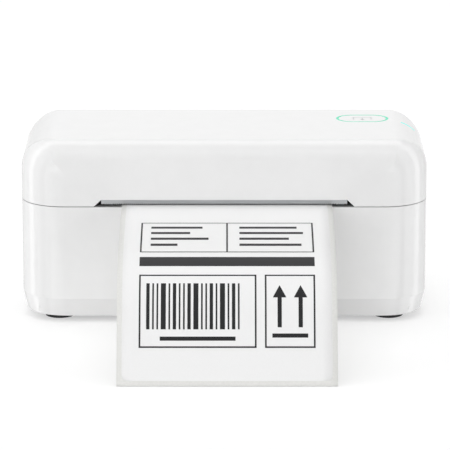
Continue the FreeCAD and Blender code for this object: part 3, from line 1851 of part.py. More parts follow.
def make_heat_sink():
    block = box(
        "sink_block", ("-sink_width / 2", "sink_width / 2"), ("sink_front", "sink_rear"),
        ("sink_low", "sink_top"),
    )
    grooves = []
    for number in range(int(size("fin_count"))):
        low = f"sink_low + fin_margin + {number} * fin_pitch"
        grooves.append(box(
            f"fin_groove_{number}", EVERY_X,
            ("sink_front - fin_groove_depth", "sink_front + fin_groove_depth"), (low, f"{low} + fin_groove"),
        ))
    return keep(cut("heat_sink", block, *grooves))


make_heat_sink()


def make_head_bracket():
    added = [box(
        "bracket_plate", ("-bracket_width / 2", "bracket_width / 2"), ("sink_front", "sink_rear"),
        ("sink_top", "bracket_top"),
    )]
    for side, sign in SIDES:
        skin = beside(sign, "ear_x", "ear_x + bracket_thickness")
        added.append(box(
            f"bracket_ear_{side}", skin, ("pivot_y - ear_width / 2", "pivot_y + ear_width / 2"),
            ("sink_top", "pivot_z"),
        ))
        added.append(rod(f"bracket_eye_{side}", "x", "ear_width / 2", skin, ("pivot_y", "pivot_z")))
    bore = rod("bracket_bore", "x", "pivot_radius + running_clearance", EVERY_X, ("pivot_y", "pivot_z"))
    return keep(cut("head_bracket", join("bracket_whole", *added), bore))


make_head_bracket()
keep(rod(
    "head_pivot_rod", "x", "pivot_radius", ("-pivot_ear_x - pivot_ear", "pivot_ear_x + pivot_ear"),
    ("pivot_y", "pivot_z"),
))


def make_head_springs():
    """Two coil springs from the bracket up into the cover frame's cups, each one unbroken wire."""
    wire_radius = size("spring_wire") / 2
    radius = size("spring_radius")
    low = size("bracket_top") + wire_radius + size("seat_clearance")
    high = size("spring_seat") - wire_radius - size("seat_clearance")
    turns = size("spring_turns")
    steps_per_turn = 4

    def spot(turn):
        angle = math.tau * turn
        return Vector(radius * math.cos(angle), radius * math.sin(angle), low + (high - low) * turn / turns)

    arcs = []
    for step in range(int(turns * steps_per_turn)):
        start, end = step / steps_per_turn, (step + 1) / steps_per_turn
        arcs.append(Part.Arc(spot(start), spot((start + end) / 2), spot(end)).toShape())
    path = Part.Wire(arcs)
    section = Part.Wire(Part.makeCircle(wire_radius, spot(0), arcs[0].tangentAt(arcs[0].FirstParameter)))
    coil = path.makePipeShell([section], True, False)
    print(f"spring: least gap between turns {(high - low) / turns - 2 * wire_radius:.2f} mm")
    springs = []
    for side, sign in SIDES:
        spring = solid(f"head_spring_{side}", coil)
        place_at(spring, (f"{sign} * spring_x", "platen_y", "0"))
        springs.append(spring)
    return keep(group("head_springs", *springs))


make_head_springs()


# Wire harness from the main board past the hinge to the button board
# Up to the cover: the side that x starts at, the steps to the right and rear, the level that z starts at, the
# step up
HARNESS_RISE = (
    ("board", 0.4, 2.5, "plug", 0),
    ("board", -15, 2.5, "plug", 0),
    ("hole", 9, 1.5, "plug", 4),
    ("hole", 0, 0, "plug", 22),
    ("hole", 0, -0.5, "seam", -4),
    ("hole", 0, -1, "carrier", -1),
    ("hole", 0.5, -9, "above", 0),
)
# Across the cover: share of the way to the button board, and how far it bows to the front
HARNESS_BOW = ((0.07, 0), (0.25, 3), (0.53, 4), (0.81, 2))


def make_harness():
    x, y = -size("harness_mid"), size("harness_y")
    above = size("carrier_top") + size("harness_over")
    sides = {"board": -size("board_left"), "hole": x}
    levels = {
        "plug": size("board_top") + size("harness_lift"),
        "seam": size("seam_height"),
        "carrier": size("carrier_low"),
        "above": above,
    }
    button_y = size("button_y")
    end_x = size("button_mid") - size("button_board_width") / 2 - size("seat_clearance")
    route = [
        *[
            Vector(sides[side] + right, y + back, levels[level] + up)
            for side, right, back, level, up in HARNESS_RISE
        ],
        *[Vector(x + (end_x - x) * share, button_y - bow, above) for share, bow in HARNESS_BOW],
        Vector(end_x, button_y, above),
    ]
    edges = []
    last = route[0]
    radii = []
    bend_share = 0.45
    for before, here, after in zip(route, route[1:], route[2:]):
        into, out = (here - before), (after - here)
        turn = into.getAngle(out)
        setback = bend_share * min(into.Length, out.Length)
        radii.append(setback / math.tan(turn / 2))
        first = here - into.normalize() * setback
        second = here + out.normalize() * setback
        centre = (first + second) * 0.5
        middle = centre + (here - centre).normalize() * (radii[-1] * (1 - math.cos(turn / 2)))
        edges.append(Part.LineSegment(last, first).toShape())
        edges.append(Part.Arc(first, middle, second).toShape())
        last = second
    edges.append(Part.LineSegment(last, route[-1]).toShape())
    path = Part.Wire(edges)
    start = (route[1] - route[0]).normalize()
    section = Part.Wire(Part.makeCircle(size("harness_radius"), route[0], start))
    tube = path.makePipeShell([section], True, False)
    share = tube.Volume / (math.pi * size("harness_radius") ** 2 * path.Length)
    print(f"harness: {path.Length:.0f} mm, radii {[round(r) for r in radii]}, volume share {share:.3f}")
    return keep(solid("cover_harness", tube))


make_harness()


# Check every object, then write each sub-part
doc.recompute()
for thing in doc.Objects:
    if {"Invalid", "Error"} & set(thing.State):
        raise ValueError(f"{thing.Label} failed: {thing.State}")
for node in nodes:
    if node.Shape.isNull() or not node.Shape.isValid():
        raise ValueError(f"{node.Label} has no valid shape")
os.makedirs("parts", exist_ok=True)
for node in nodes:
    node.Shape.exportStep(f"parts/{node.Label}.step")
print(f"wrote {len(nodes)} sub-parts")
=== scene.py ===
# %% [markdown]
# A desktop label printer, dressed for a studio picture. The engineering model already holds every rigid
# piece at its real size, so this lesson loads it as a fixed frame and adds only looks: finishes, the paper,
# the springs, the wires, the light and the camera. Nothing that was loaded is moved.

# %% Load the frame
import json
import math

import bpy
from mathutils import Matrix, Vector


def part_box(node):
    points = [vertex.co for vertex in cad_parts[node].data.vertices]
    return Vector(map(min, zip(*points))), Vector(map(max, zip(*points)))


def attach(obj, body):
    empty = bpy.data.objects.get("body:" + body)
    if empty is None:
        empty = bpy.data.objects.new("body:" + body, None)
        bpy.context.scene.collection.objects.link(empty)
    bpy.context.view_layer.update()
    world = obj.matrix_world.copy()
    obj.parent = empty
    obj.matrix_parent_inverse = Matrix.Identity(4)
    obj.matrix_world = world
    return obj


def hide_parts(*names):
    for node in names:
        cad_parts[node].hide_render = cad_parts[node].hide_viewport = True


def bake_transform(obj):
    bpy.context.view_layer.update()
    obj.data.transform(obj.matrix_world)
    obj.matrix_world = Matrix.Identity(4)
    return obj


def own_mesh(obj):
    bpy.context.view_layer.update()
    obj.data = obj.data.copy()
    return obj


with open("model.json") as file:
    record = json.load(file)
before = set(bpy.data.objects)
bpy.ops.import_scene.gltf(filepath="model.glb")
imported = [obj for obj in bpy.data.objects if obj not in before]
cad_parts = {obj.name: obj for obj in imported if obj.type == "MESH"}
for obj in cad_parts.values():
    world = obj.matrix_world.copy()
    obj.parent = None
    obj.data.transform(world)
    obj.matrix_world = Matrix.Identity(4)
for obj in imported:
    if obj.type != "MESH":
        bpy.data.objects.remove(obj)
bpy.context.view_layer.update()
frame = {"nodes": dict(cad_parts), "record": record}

MM = 0.001

# %% [markdown]
# The picture was taken from the front, a little above, with a long lens: the printer's sides hardly
# converge. A long lens far away gives that flat look, and a short lens near by would bend it. The camera
# aims at the middle of the seam's front edge, moved a little so that the printer sits where it does in the
# frame.

# %% Camera
SEAM_FRONT = Vector((0, -41, 60)) * MM
ELEVATION = math.radians(14.5)
DISTANCE = 1765 * MM
LENS_MM = 283
SENSOR_MM = 36
AIM_RIGHT = 0.4 * MM
AIM_DOWN = 8.8 * MM

towards_camera = Vector((0, -math.cos(ELEVATION), math.sin(ELEVATION)))
camera_up = Vector((0, math.sin(ELEVATION), math.cos(ELEVATION)))
camera = bpy.data.objects.new("camera", bpy.data.cameras.new("camera"))
camera.data.lens = LENS_MM
camera.data.sensor_width = SENSOR_MM
aim = SEAM_FRONT + Vector((AIM_RIGHT, 0, 0)) - camera_up * AIM_DOWN
camera.location = aim + towards_camera * DISTANCE
camera.rotation_euler = (math.pi / 2 - ELEVATION, 0, 0)
bpy.context.scene.collection.objects.link(camera)
bpy.context.scene.camera = camera
print(f"camera: {LENS_MM} mm lens at {camera.location.length:.2f} m")

# %% [markdown]
# Every finish below starts from a Principled shader. Colours are written as the hex values that a paint
# chart or a screen shows, and one function turns them into the linear light that the shader works in. A
# second small function adds a node with its settings and links, so that each finish reads as a short list
# of what it does.

# %% Colour and node helpers


def linear(hex_colour):
    """Linear colour with alpha from an sRGB hex value such as #E0E0E0."""
    channels = [int(hex_colour[i:i + 2], 16) / 255 for i in (1, 3, 5)]
    return (*[c / 12.92 if c <= 0.04045 else ((c + 0.055) / 1.055) ** 2.4 for c in channels], 1)


def add_node(tree, kind, sockets=None, links=None, **settings):
    """Add one node: its settings, the values of its sockets, and where its linked sockets come from."""
    node = tree.nodes.new(kind)
    for name, value in settings.items():
        setattr(node, name, value)
    for name, value in (sockets or {}).items():
        node.inputs[name].default_value = value
    for name, output in (links or {}).items():
        tree.links.new(output, node.inputs[name])
    return node


def new_finish(name, colour, **sockets):
    """A material with one Principled shader of that hex colour; sockets are given with _ for spaces."""
    material = bpy.data.materials.new(name)
    material.use_nodes = True
    shader = material.node_tree.nodes["Principled BSDF"]
    shader.inputs["Base Color"].default_value = linear(colour)
    for socket, value in sockets.items():
        shader.inputs[socket.replace("_", " ")].default_value = value
    return material, material.node_tree, shader


finishes = {}
print("helpers ready")

# %% [markdown]
# Most surfaces here differ from a flat colour in three quiet ways: the tone drifts a little from place to
# place, the gloss drifts with it, and a fine relief breaks up the reflections. One function lays those
# three over a finish, with the size of the grain in millimetres and the depth of the relief in micrometres.
# Most of the real grains are a tenth of a millimetre or less, too fine to show, so the tables below draw
# them coarser, from a quarter of a millimetre up. The pattern is taken from the place on the object, so it
# needs no unwrapping and stays put in every view.

# %% Grain over a finish
# Where on the noise the tone's drift starts and ends, and how many finer layers the noise has
TONE_FROM, TONE_TO = 0.3, 0.7
GRAIN_DETAIL = 4.0


def grain(tree, shader, colours, gloss, grain_mm, relief_um, stretch=(1, 1, 1)):
    """Drift the colour and the roughness between two values each, and add a fine relief."""
    place = add_node(tree, "ShaderNodeTexCoord")
    scaled = add_node(
        tree, "ShaderNodeMapping", {"Scale": [s / (grain_mm * MM) for s in stretch]},
        {"Vector": place.outputs["Object"]},
    )
    noise = add_node(
        tree, "ShaderNodeTexNoise", {"Scale": 1.0, "Detail": GRAIN_DETAIL},
        {"Vector": scaled.outputs["Vector"]},
    )
    tone = add_node(tree, "ShaderNodeValToRGB", links={"Fac": noise.outputs["Fac"]})
    tone.color_ramp.elements[0].position = TONE_FROM
    tone.color_ramp.elements[1].position = TONE_TO
    for element, colour in zip(tone.color_ramp.elements, colours):
        element.color = linear(colour)
    rough = add_node(
        tree, "ShaderNodeMapRange", {"To Min": gloss[0], "To Max": gloss[1]}, {"Value": noise.outputs["Fac"]},
    )
    relief = add_node(
        tree, "ShaderNodeBump", {"Strength": 1.0, "Distance": relief_um * 1e-6},
        {"Height": noise.outputs["Fac"]},
    )
    tree.links.new(tone.outputs["Color"], shader.inputs["Base Color"])
    tree.links.new(rough.outputs["Result"], shader.inputs["Roughness"])
    tree.links.new(relief.outputs["Normal"], shader.inputs["Normal"])


print("grain ready")

# %% [markdown]
# The casing is ABS, injection moulded in a polished tool. It is white with a clear gloss, and on a large
# part the cooling skin leaves a faint waviness, which softens the edges of reflections. Textured ABS, as
# the inner pieces have it, comes from a spark-eroded tool: a fine matt grain with hardly any reflection.
# Acetal, which guides and gears are made of, looks a little waxy. Moulded nylon, epoxy and the sleeve's PVC
# are dark with a soft sheen, and rubber is the dullest, with the ground roller a shade smoother than the
# feet.

# %% Plastics
PLASTICS = {
    # slot: name, IOR, colours, roughness, grain in mm, relief in micrometres
    "white_casing": ("abs_polished_white", 1.54, ("#F3F3F3", "#F5F5F5"), (0.05, 0.08), 9.0, 2),
    "grey_inner": ("abs_spark_eroded_grey", 1.54, ("#5B5D60", "#64666A"), (0.52, 0.66), 0.5, 12),
    "guide_plastic": ("acetal_moulded_green", 1.48, ("#2E9C7C", "#37A686"), (0.34, 0.44), 1.2, 6),
    "gear_acetal": ("acetal_moulded_natural", 1.48, ("#E4E1D8", "#ECE9E1"), (0.34, 0.46), 0.9, 6),
    "chip_black": ("epoxy_moulded_black", 1.57, ("#17181A", "#222326"), (0.48, 0.62), 0.3, 8),
    "socket_black": ("nylon_moulded_black", 1.53, ("#0F1011", "#16171A"), (0.30, 0.42), 0.8, 6),
    "foot_rubber": ("rubber_moulded_black", 1.52, ("#1B1B1C", "#262627"), (0.66, 0.82), 0.6, 20),
    "roller_rubber": ("silicone_ground_black", 1.43, ("#232426", "#2C2D30"), (0.58, 0.72), 0.35, 14),
    "cable_sleeve": ("pvc_extruded_black", 1.53, ("#141416", "#1D1D20"), (0.38, 0.50), 1.6, 8),
}
for slot, (name, ior, colours, gloss, grain_mm, relief_um) in PLASTICS.items():
    finishes[slot], tree, shader = new_finish(name, colours[0], IOR=ior)
    grain(tree, shader, colours, gloss, grain_mm, relief_um)
print(f"plastics: {len(PLASTICS)} finishes")

# %% [markdown]
# Metals keep the shader's default IOR and are told apart by colour, gloss and the marks of how they were
# made. Rolled sheet has streaks along the rolling direction and extruded aluminium has fine lines from its
# die. Ground bar has rings round it, cut brass is bright, plated pieces are smoother, and a sintered bush is
# dull and speckled. A stretched grain gives the streaks: the noise is drawn out along them.

# %% Metals
ALONG_X = (0.04, 1, 1)
ROUND_X = (1, 0.12, 0.12)
EVEN = (1, 1, 1)
METALS = {
    # slot: name, colours, roughness, grain in mm, relief in micrometres, stretch
    "sheet_steel": ("steel_galvanised_sheet", ("#B4B7B9", "#C6C8CA"), (0.30, 0.44), 0.6, 4, ALONG_X),
    "turned_steel": ("steel_ground_bar", ("#C2C3C5", "#D2D3D4"), (0.18, 0.28), 0.3, 2, ROUND_X),
    "screw_steel": ("steel_zinc_plated", ("#A9ADB0", "#BCC0C4"), (0.24, 0.36), 0.4, 2, EVEN),
    "motor_can": ("steel_drawn_can", ("#A5A7A9", "#B6B8BA"), (0.32, 0.42), 0.8, 3, ALONG_X),
    "bronze": ("bronze_sintered", ("#9A6C3A", "#B58450"), (0.42, 0.58), 0.25, 6, EVEN),
    "pinion_brass": ("brass_hobbed", ("#C79A4B", "#D8AE62"), (0.22, 0.34), 0.4, 2, ALONG_X),
    "socket_shell": ("steel_tinned", ("#BFC2C4", "#D0D2D4"), (0.22, 0.32), 0.7, 2, EVEN),
    "head_aluminium": ("aluminium_extruded", ("#C8CACC", "#D6D8D9"), (0.30, 0.42), 0.5, 3, ALONG_X),
}
for slot, (name, colours, gloss, grain_mm, relief_um, stretch) in METALS.items():
    finishes[slot], tree, shader = new_finish(name, colours[0], Metallic=1.0)
    grain(tree, shader, colours, gloss, grain_mm, relief_um, stretch)
print(f"metals: {len(METALS)} finishes")

# %% [markdown]
# The print head is a strip of alumina under a thin glass glaze: pale, very smooth, with a wet gloss. A
# clear coat over a slightly rough base gives both layers. The button's ring and the light on the shoulder
# are acrylic that small lamps shine into from below; seen from outside they are a coloured glow with a
# glossy skin, so the shader emits its colour and keeps its own reflection.

# %% Ceramic and lit acrylic
finishes["head_ceramic"], tree, shader = new_finish(
    "alumina_glazed", "#D9D4C8", IOR=1.6, Coat_Weight=0.8, Coat_Roughness=0.05,
)
grain(tree, shader, ("#D5D0C3", "#DDD8CD"), gloss=(0.30, 0.40), grain_mm=1.0, relief_um=3)
LIT = {
    # slot: name, body colours, glow colour, glow strength
    "ring_light": ("acrylic_lit_mint", ("#12805F", "#178A6A"), "#00D9AE", 0.55),
    "bar_light": ("acrylic_lit_cyan", ("#22A79F", "#2BB0A8"), "#30F0E0", 0.5),
}
for slot, (name, colours, glow, strength) in LIT.items():
    finishes[slot], tree, shader = new_finish(
        name, colours[0], IOR=1.49, Emission_Color=linear(glow), Emission_Strength=strength,
    )
    grain(tree, shader, colours, gloss=(0.12, 0.2), grain_mm=6.0, relief_um=2)
print(f"lit pieces: {len(LIT)} finishes")

# %% [markdown]
# A circuit board is glass cloth in epoxy under a green solder mask. Copper tracks show through the mask as
# slightly paler lines on a square grid. Two sets of bands, one along each side of the board, show only where
# a coarse noise is high, which breaks them into runs. That reads as routing without drawing a real circuit.

# %% Circuit board
TRACK_PITCH_MM = 1.3
TRACK_COLOUR = "#2C8A58"
# The sizes of the patches that break the bands along each side into runs
PATCHES_MM = {"X": 9.0, "Y": 11.0}
# A band is a track where it is above this level, and a patch has tracks where its noise is above this one
LINE_LEVEL = 0.82
RUN_LEVEL = 0.55
# The wave texture repeats every tau / 20 of its own length
WAVE_PERIOD = math.tau / 20
finishes["circuit_board"], tree, shader = new_finish("solder_mask_green", "#0F5A38", IOR=1.55)
grain(tree, shader, ("#0C5233", "#116240"), gloss=(0.28, 0.38), grain_mm=3.0, relief_um=2)
place = add_node(tree, "ShaderNodeTexCoord")
masks = []
for direction, patch_mm in PATCHES_MM.items():
    bands = add_node(
        tree, "ShaderNodeTexWave", {"Scale": WAVE_PERIOD / (TRACK_PITCH_MM * MM)},
        {"Vector": place.outputs["Object"]}, bands_direction=direction,
    )
    patches = add_node(
        tree, "ShaderNodeTexNoise", {"Scale": 1 / (patch_mm * MM), "Detail": 0.0},
        {"Vector": place.outputs["Object"]},
    )
    line = add_node(
        tree, "ShaderNodeMath", {1: LINE_LEVEL}, {0: bands.outputs["Fac"]}, operation="GREATER_THAN",
    )
    run = add_node(
        tree, "ShaderNodeMath", {1: RUN_LEVEL}, {0: patches.outputs["Fac"]}, operation="GREATER_THAN",
    )
    masks.append(add_node(
        tree, "ShaderNodeMath", links={0: line.outputs[0], 1: run.outputs[0]}, operation="MULTIPLY",
    ))
tracks = add_node(
    tree, "ShaderNodeMath", links={0: masks[0].outputs[0], 1: masks[1].outputs[0]}, operation="MAXIMUM",
)
# The mix node's colour sockets are its seventh and eighth inputs and its third output
routed = add_node(
    tree, "ShaderNodeMix", {7: linear(TRACK_COLOUR)},
    {0: tracks.outputs[0], 6: shader.inputs["Base Color"].links[0].from_socket}, data_type="RGBA",
)
tree.links.new(routed.outputs[2], shader.inputs["Base Color"])
print("circuit board finish")

# %% [markdown]
# Thermal paper is a smooth coated sheet: white, matt, and a little uneven where the fibres lie under the
# coating. The liner below it is glassine, pressed until it is dense and slightly shiny, and a shade warmer.
# The print is heat-black, with little gloss of its own, and the inks of the printed marks have a satin sheen.

# %% Papers and print
PAPERS_AND_INKS = {
    # slot: name, colours, roughness, grain in mm, relief in micrometres
    "label_paper": ("paper_thermal_coated", ("#F7F7F7", "#F9F9F9"), (0.55, 0.65), 0.7, 6),
    "liner_paper": ("paper_glassine", ("#E9E9E6", "#EFEFEC"), (0.36, 0.46), 0.9, 5),
    "thermal_print": ("print_heat_black", ("#1E1E1F", "#28282A"), (0.60, 0.70), 0.5, 3),
    "pad_print_grey": ("ink_pad_printed_grey", ("#A9ABAD", "#B2B4B6"), (0.40, 0.50), 0.4, 2),
    "pad_print_white": ("ink_pad_printed_white", ("#E2E3E4", "#ECEDEE"), (0.40, 0.50), 0.4, 2),
}
for slot, (name, colours, gloss, grain_mm, relief_um) in PAPERS_AND_INKS.items():
    finishes[slot], tree, shader = new_finish(name, colours[0], IOR=1.5)
    grain(tree, shader, colours, gloss, grain_mm, relief_um)
print(f"papers and inks: {len(PAPERS_AND_INKS)} finishes")

# %% [markdown]
# The record says which finish each loaded piece takes, by its slot. Giving the finish to the piece's own
# material slot changes how it looks and leaves its shape alone.

# %% Dress the loaded pieces
for row in frame["record"]["subparts"]:
    mesh = frame["nodes"][row["node"]].data
    mesh.materials.clear()
    mesh.materials.append(finishes[row["material_slot"]])

# %% [markdown]
# New pieces are meshes made from points and faces. One function turns those into an object with its finish
# and lets it ride on a body of the printer.

# %% Add a piece


def add_piece(name, points, faces, finish, body=None):
    """A mesh piece with its finish, riding on a body of the frame if one is named."""
    mesh = bpy.data.meshes.new(name)
    mesh.from_pydata(points, [], faces)
    mesh.validate()
    mesh.materials.append(finishes[finish])
    mesh.polygons.foreach_set("use_smooth", [True] * len(mesh.polygons))
    piece = bpy.data.objects.new(name, mesh)
    bpy.context.scene.collection.objects.link(piece)
    if body:
        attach(piece, body)
    return piece


print("pieces can be added")

# %% [markdown]
# The label comes out level, glides over the lip in a long shallow arc, folds over, and falls straight to
# the table. A cloth simulation could drop it there, but a label this short is stiff enough to keep a plain
# curve, so the path is worked out: a level run, two arcs and a straight fall that meet without a kink. Its
# facts are where the paper starts and lands, the two angles and the radius of the fold; the long arc's
# radius follows from them.

# %% The paper's path
liner_low, liner_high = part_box("label_liner")
LINER_WIDTH = liner_high.x - liner_low.x
PAPER_MIDDLE = (liner_high.x + liner_low.x) / 2
LEVEL_START = -20.0 * MM
LEVEL_END = -39.9 * MM
PAPER_LOW = 60.6 * MM
TABLE_GAP = 0.3 * MM
LANDING = -150.4 * MM
GLIDE = math.radians(12)
FALL = math.radians(62)
FOLD_RADIUS = 40 * MM

drop_left = PAPER_LOW - TABLE_GAP - FOLD_RADIUS * (math.cos(GLIDE) - math.cos(FALL))
run_left = LEVEL_END - LANDING - FOLD_RADIUS * (math.sin(FALL) - math.sin(GLIDE))
turn = (1 - math.cos(GLIDE)) * math.cos(FALL) - math.sin(GLIDE) * math.sin(FALL)
GLIDE_RADIUS = (drop_left * math.cos(FALL) - run_left * math.sin(FALL)) / turn
LEVEL_RUN = LEVEL_START - LEVEL_END
GLIDE_RUN = GLIDE_RADIUS * GLIDE
FOLD_RUN = FOLD_RADIUS * (FALL - GLIDE)
FALL_RUN = (drop_left - GLIDE_RADIUS * (1 - math.cos(GLIDE))) / math.sin(FALL)
PAPER_RUN = LEVEL_RUN + GLIDE_RUN + FOLD_RUN + FALL_RUN
fold_centre = (
    LEVEL_END - (GLIDE_RADIUS - FOLD_RADIUS) * math.sin(GLIDE),
    PAPER_LOW - GLIDE_RADIUS + (GLIDE_RADIUS - FOLD_RADIUS) * math.cos(GLIDE),
)


def on_paper(across, along, lift):
    """The point at a place on the flat paper, raised by lift from the liner's underside."""
    x = PAPER_MIDDLE + across
    if along <= LEVEL_RUN:
        return Vector((x, LEVEL_START - along, PAPER_LOW + lift))
    left = along - LEVEL_RUN
    if left <= GLIDE_RUN:
        angle, centre, radius = left / GLIDE_RADIUS, (LEVEL_END, PAPER_LOW - GLIDE_RADIUS), GLIDE_RADIUS
        ahead = 0.0
    else:
        left -= GLIDE_RUN
        angle, centre, radius = min(GLIDE + left / FOLD_RADIUS, FALL), fold_centre, FOLD_RADIUS
        ahead = max(left - FOLD_RUN, 0.0)
    out = radius + lift
    y = centre[0] - out * math.sin(angle) - ahead * math.cos(angle)
    return Vector((x, y, centre[1] + out * math.cos(angle) - ahead * math.sin(angle)))


print(f"paper path: {PAPER_RUN / MM:.1f} mm, long arc {GLIDE_RADIUS / MM:.0f} mm")

# %% [markdown]
# Each sheet is a thin closed shell on that path: rows along it, columns across it, an upper and a lower
# skin and a rim. The label's corners are die cut to a radius, so its rows near each end are narrower.

# %% Liner and label
COLUMNS = 20
ROW_STEP = 1.5 * MM
LINER_THICK = 0.2 * MM
LABEL_WIDTH = 100 * MM
LABEL_LENGTH = 152.4 * MM
LABEL_THICK = 0.15 * MM
LABEL_MARGIN = 2.5 * MM
LABEL_CORNER = 3 * MM
CORNER_STEPS = 6


def sheet_rows(start, end, half, corner):
    """Places along a sheet with its half width at each, which is less where the corners are round."""
    span = end - start - 2 * corner
    count = math.ceil(span / ROW_STEP)
    rows = [(start + corner + span * step / count, half) for step in range(count + 1)]
    for step in range(CORNER_STEPS if corner else 0):
        angle = math.pi / 2 * step / CORNER_STEPS
        inset, narrower = corner * (1 - math.cos(angle)), corner * (1 - math.sin(angle))
        rows += [(start + inset, half - narrower), (end - inset, half - narrower)]
    return sorted(rows)


def paper_sheet(name, start, end, width, corner, low, high, finish, node):
    """A sheet between two places along the path and two heights above the liner's underside."""
    rows = sheet_rows(start, end, width / 2, corner)
    points = []
    for lift in (low, high):
        for along, half in rows:
            points += [on_paper(half * (2 * c / COLUMNS - 1), along, lift) for c in range(COLUMNS + 1)]
    wide, skin = COLUMNS + 1, len(rows) * (COLUMNS + 1)
    faces = []
    for r in range(len(rows) - 1):
        for c in range(COLUMNS):
            a = r * wide + c
            faces.append((a, a + 1, a + wide + 1, a + wide))
            faces.append((skin + a, skin + a + wide, skin + a + wide + 1, skin + a + 1))
    rim = list(range(wide))
    rim += [r * wide + COLUMNS for r in range(1, len(rows))]
    rim += [(len(rows) - 1) * wide + c for c in range(COLUMNS - 1, -1, -1)]
    rim += [r * wide for r in range(len(rows) - 2, 0, -1)]
    for here, after in zip(rim, rim[1:] + rim[:1]):
        faces.append((after, here, skin + here, skin + after))
    sheet = add_piece(name, points, faces, finish, "base")
    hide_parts(node)


paper_sheet(
    "liner_strip", 0.0, PAPER_RUN, LINER_WIDTH, 0.0, 0.0, LINER_THICK, "liner_paper", "label_liner",
)
LABEL_END = PAPER_RUN - LABEL_MARGIN
LABEL_START = LABEL_END - LABEL_LENGTH
LABEL_TOP = LINER_THICK + LABEL_THICK
paper_sheet(
    "label_face", LABEL_START, LABEL_END, LABEL_WIDTH, LABEL_CORNER, LINER_THICK, LABEL_TOP,
    "label_paper", "printed_label",
)
print(f"liner {PAPER_RUN / MM:.1f} mm, label {LABEL_LENGTH / MM:.1f} mm long")

# %% [markdown]
# Thermal print is only a stain in the paper. A picture laid on the label could show it; here it is drawn as
# faces that lie just above the paper and bend with it, so that its edges stay sharp at any distance. Every
# mark is made of strips between pairs of places. A place on the label is given from the middle and from its
# leading edge, in millimetres, and a rectangle by its left, right, low and high edges.

# %% Ink on the label
INK_LIFT = LABEL_TOP + 0.02 * MM
INK_STEP = 2.0
HEAD_ROWS = 6
ink_points = []
ink_faces = []


def ink_strip(edges):
    """Ink between pairs of places on the label, each pair joined to the next."""
    first = len(ink_points)
    for pair in edges:
        ink_points.extend(on_paper(x * MM, LABEL_END - v * MM, INK_LIFT) for x, v in pair)
    for i in range(first, len(ink_points) - 2, 2):
        ink_faces.append((i, i + 1, i + 3, i + 2))


def ink_bar(left, right, low, high):
    """A filled rectangle, cut along the paper so that it bends with it."""
    count = max(1, math.ceil((high - low) / INK_STEP))
    heights = [low + (high - low) * step / count for step in range(count + 1)]
    ink_strip([((left, v), (right, v)) for v in reversed(heights)])


def ink_frame(left, right, low, high, line):
    """An outlined rectangle."""
    ink_bar(left, right, low, low + line)
    ink_bar(left, right, high - line, high)
    ink_bar(left, left + line, low + line, high - line)
    ink_bar(right - line, right, low + line, high - line)


def ink_arrow(x, low, high, width, line):
    """An upright arrow: a shaft, and a head cut in rows."""
    head = width
    ink_bar(x - line / 2, x + line / 2, low, high - head)
    parts = [step / HEAD_ROWS for step in range(HEAD_ROWS + 1)]
    rows = [(high - head + head * part, width / 2 * (1 - part)) for part in parts]
    ink_strip([((x - half, v), (x + half, v)) for v, half in reversed(rows)])


print("ink can be laid on the label")

# %% [markdown]
# What is printed is a plain parcel form of this lesson's own, without lettering: a ruled address panel with
# bars for its lines of writing, a solid band, a bar code with a bar for its caption, and two arrows that say
# which way is up. The bars of the code have the few widths that a real code has, in no order that means
# anything.

# %% Parcel form
RULE = 0.8
ADDRESS_PANEL = (-42, 42, 70, 106)
ADDRESS_DIVIDER = (-RULE / 2, RULE / 2, 70, 106)
# Where the lines of writing start in the two halves of the panel, and where each line ends
WRITING_STARTS = (-37, 6)
WRITING_ENDS = ((-12, 34), (-18, 37), (-9, 30), (-24, 36))
WRITING_TOP, WRITING_PITCH, WRITING_HEIGHT = 98, 7, 2.6
BAND = (-42, 42, 58.5, 65.5)
CODE_PANEL = (-42, 14, 16, 53)
CODE_CAPTION = (-32, 4, 19.5, 21.5)
BAR_WIDTHS = (1.6, 0.8, 0.8, 2.4, 0.8, 1.6, 0.8, 0.8, 1.6, 2.4, 0.8, 0.8, 1.6, 0.8, 2.4, 0.8, 1.6, 0.8)
BAR_START, BAR_GAP = -38.5, 1.25
BAR_LOW, BAR_HIGH = 25, 48
HANDLING_PANEL = (18, 42, 16, 53)
HANDLING_GROUND = (21.5, 38.5, 21, 23)
ARROW_MIDDLES = (25, 35)
ARROW_LOW, ARROW_HIGH = 26, 47
ARROW_WIDTH, ARROW_LINE = 6.4, 2.0

ink_frame(*ADDRESS_PANEL, RULE)
ink_bar(*ADDRESS_DIVIDER)
for number, ends in enumerate(WRITING_ENDS):
    v = WRITING_TOP - number * WRITING_PITCH
    for start, end in zip(WRITING_STARTS, ends):
        ink_bar(start, end, v, v + WRITING_HEIGHT)
ink_bar(*BAND)
ink_frame(*CODE_PANEL, RULE)
x = BAR_START
for bar in BAR_WIDTHS:
    ink_bar(x, x + bar, BAR_LOW, BAR_HIGH)
    x += bar + BAR_GAP
ink_bar(*CODE_CAPTION)
ink_frame(*HANDLING_PANEL, RULE)
for middle in ARROW_MIDDLES:
    ink_arrow(middle, ARROW_LOW, ARROW_HIGH, ARROW_WIDTH, ARROW_LINE)
ink_bar(*HANDLING_GROUND)
add_piece("label_print", ink_points, ink_faces, "thermal_print", "base")
print(f"print: {len(ink_faces)} faces")

# %% [markdown]
# Each head spring is a coil of hard-drawn wire that stands in a cup of the cover's frame and presses on the
# head's bracket. A real compression spring has its end turns wound close so that it stands square. The wire
# is swept as a tube round a helix whose pitch closes up near both ends.

# %% Head springs
SPRING_LOW, SPRING_HIGH = (corner.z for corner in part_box("head_springs"))
WIRE_RADIUS = 0.4 * MM
COIL_RADIUS = 3.6 * MM
SPRING_TURNS = 8
STEPS_A_TURN = 28
# How far the pitch closes up at the ends: 0 is an even pitch and 1 a flat end
END_CLOSING = 0.55
WIRE_SIDES = 10
SPRING_Y = -24 * MM
SPRING_X = 34 * MM


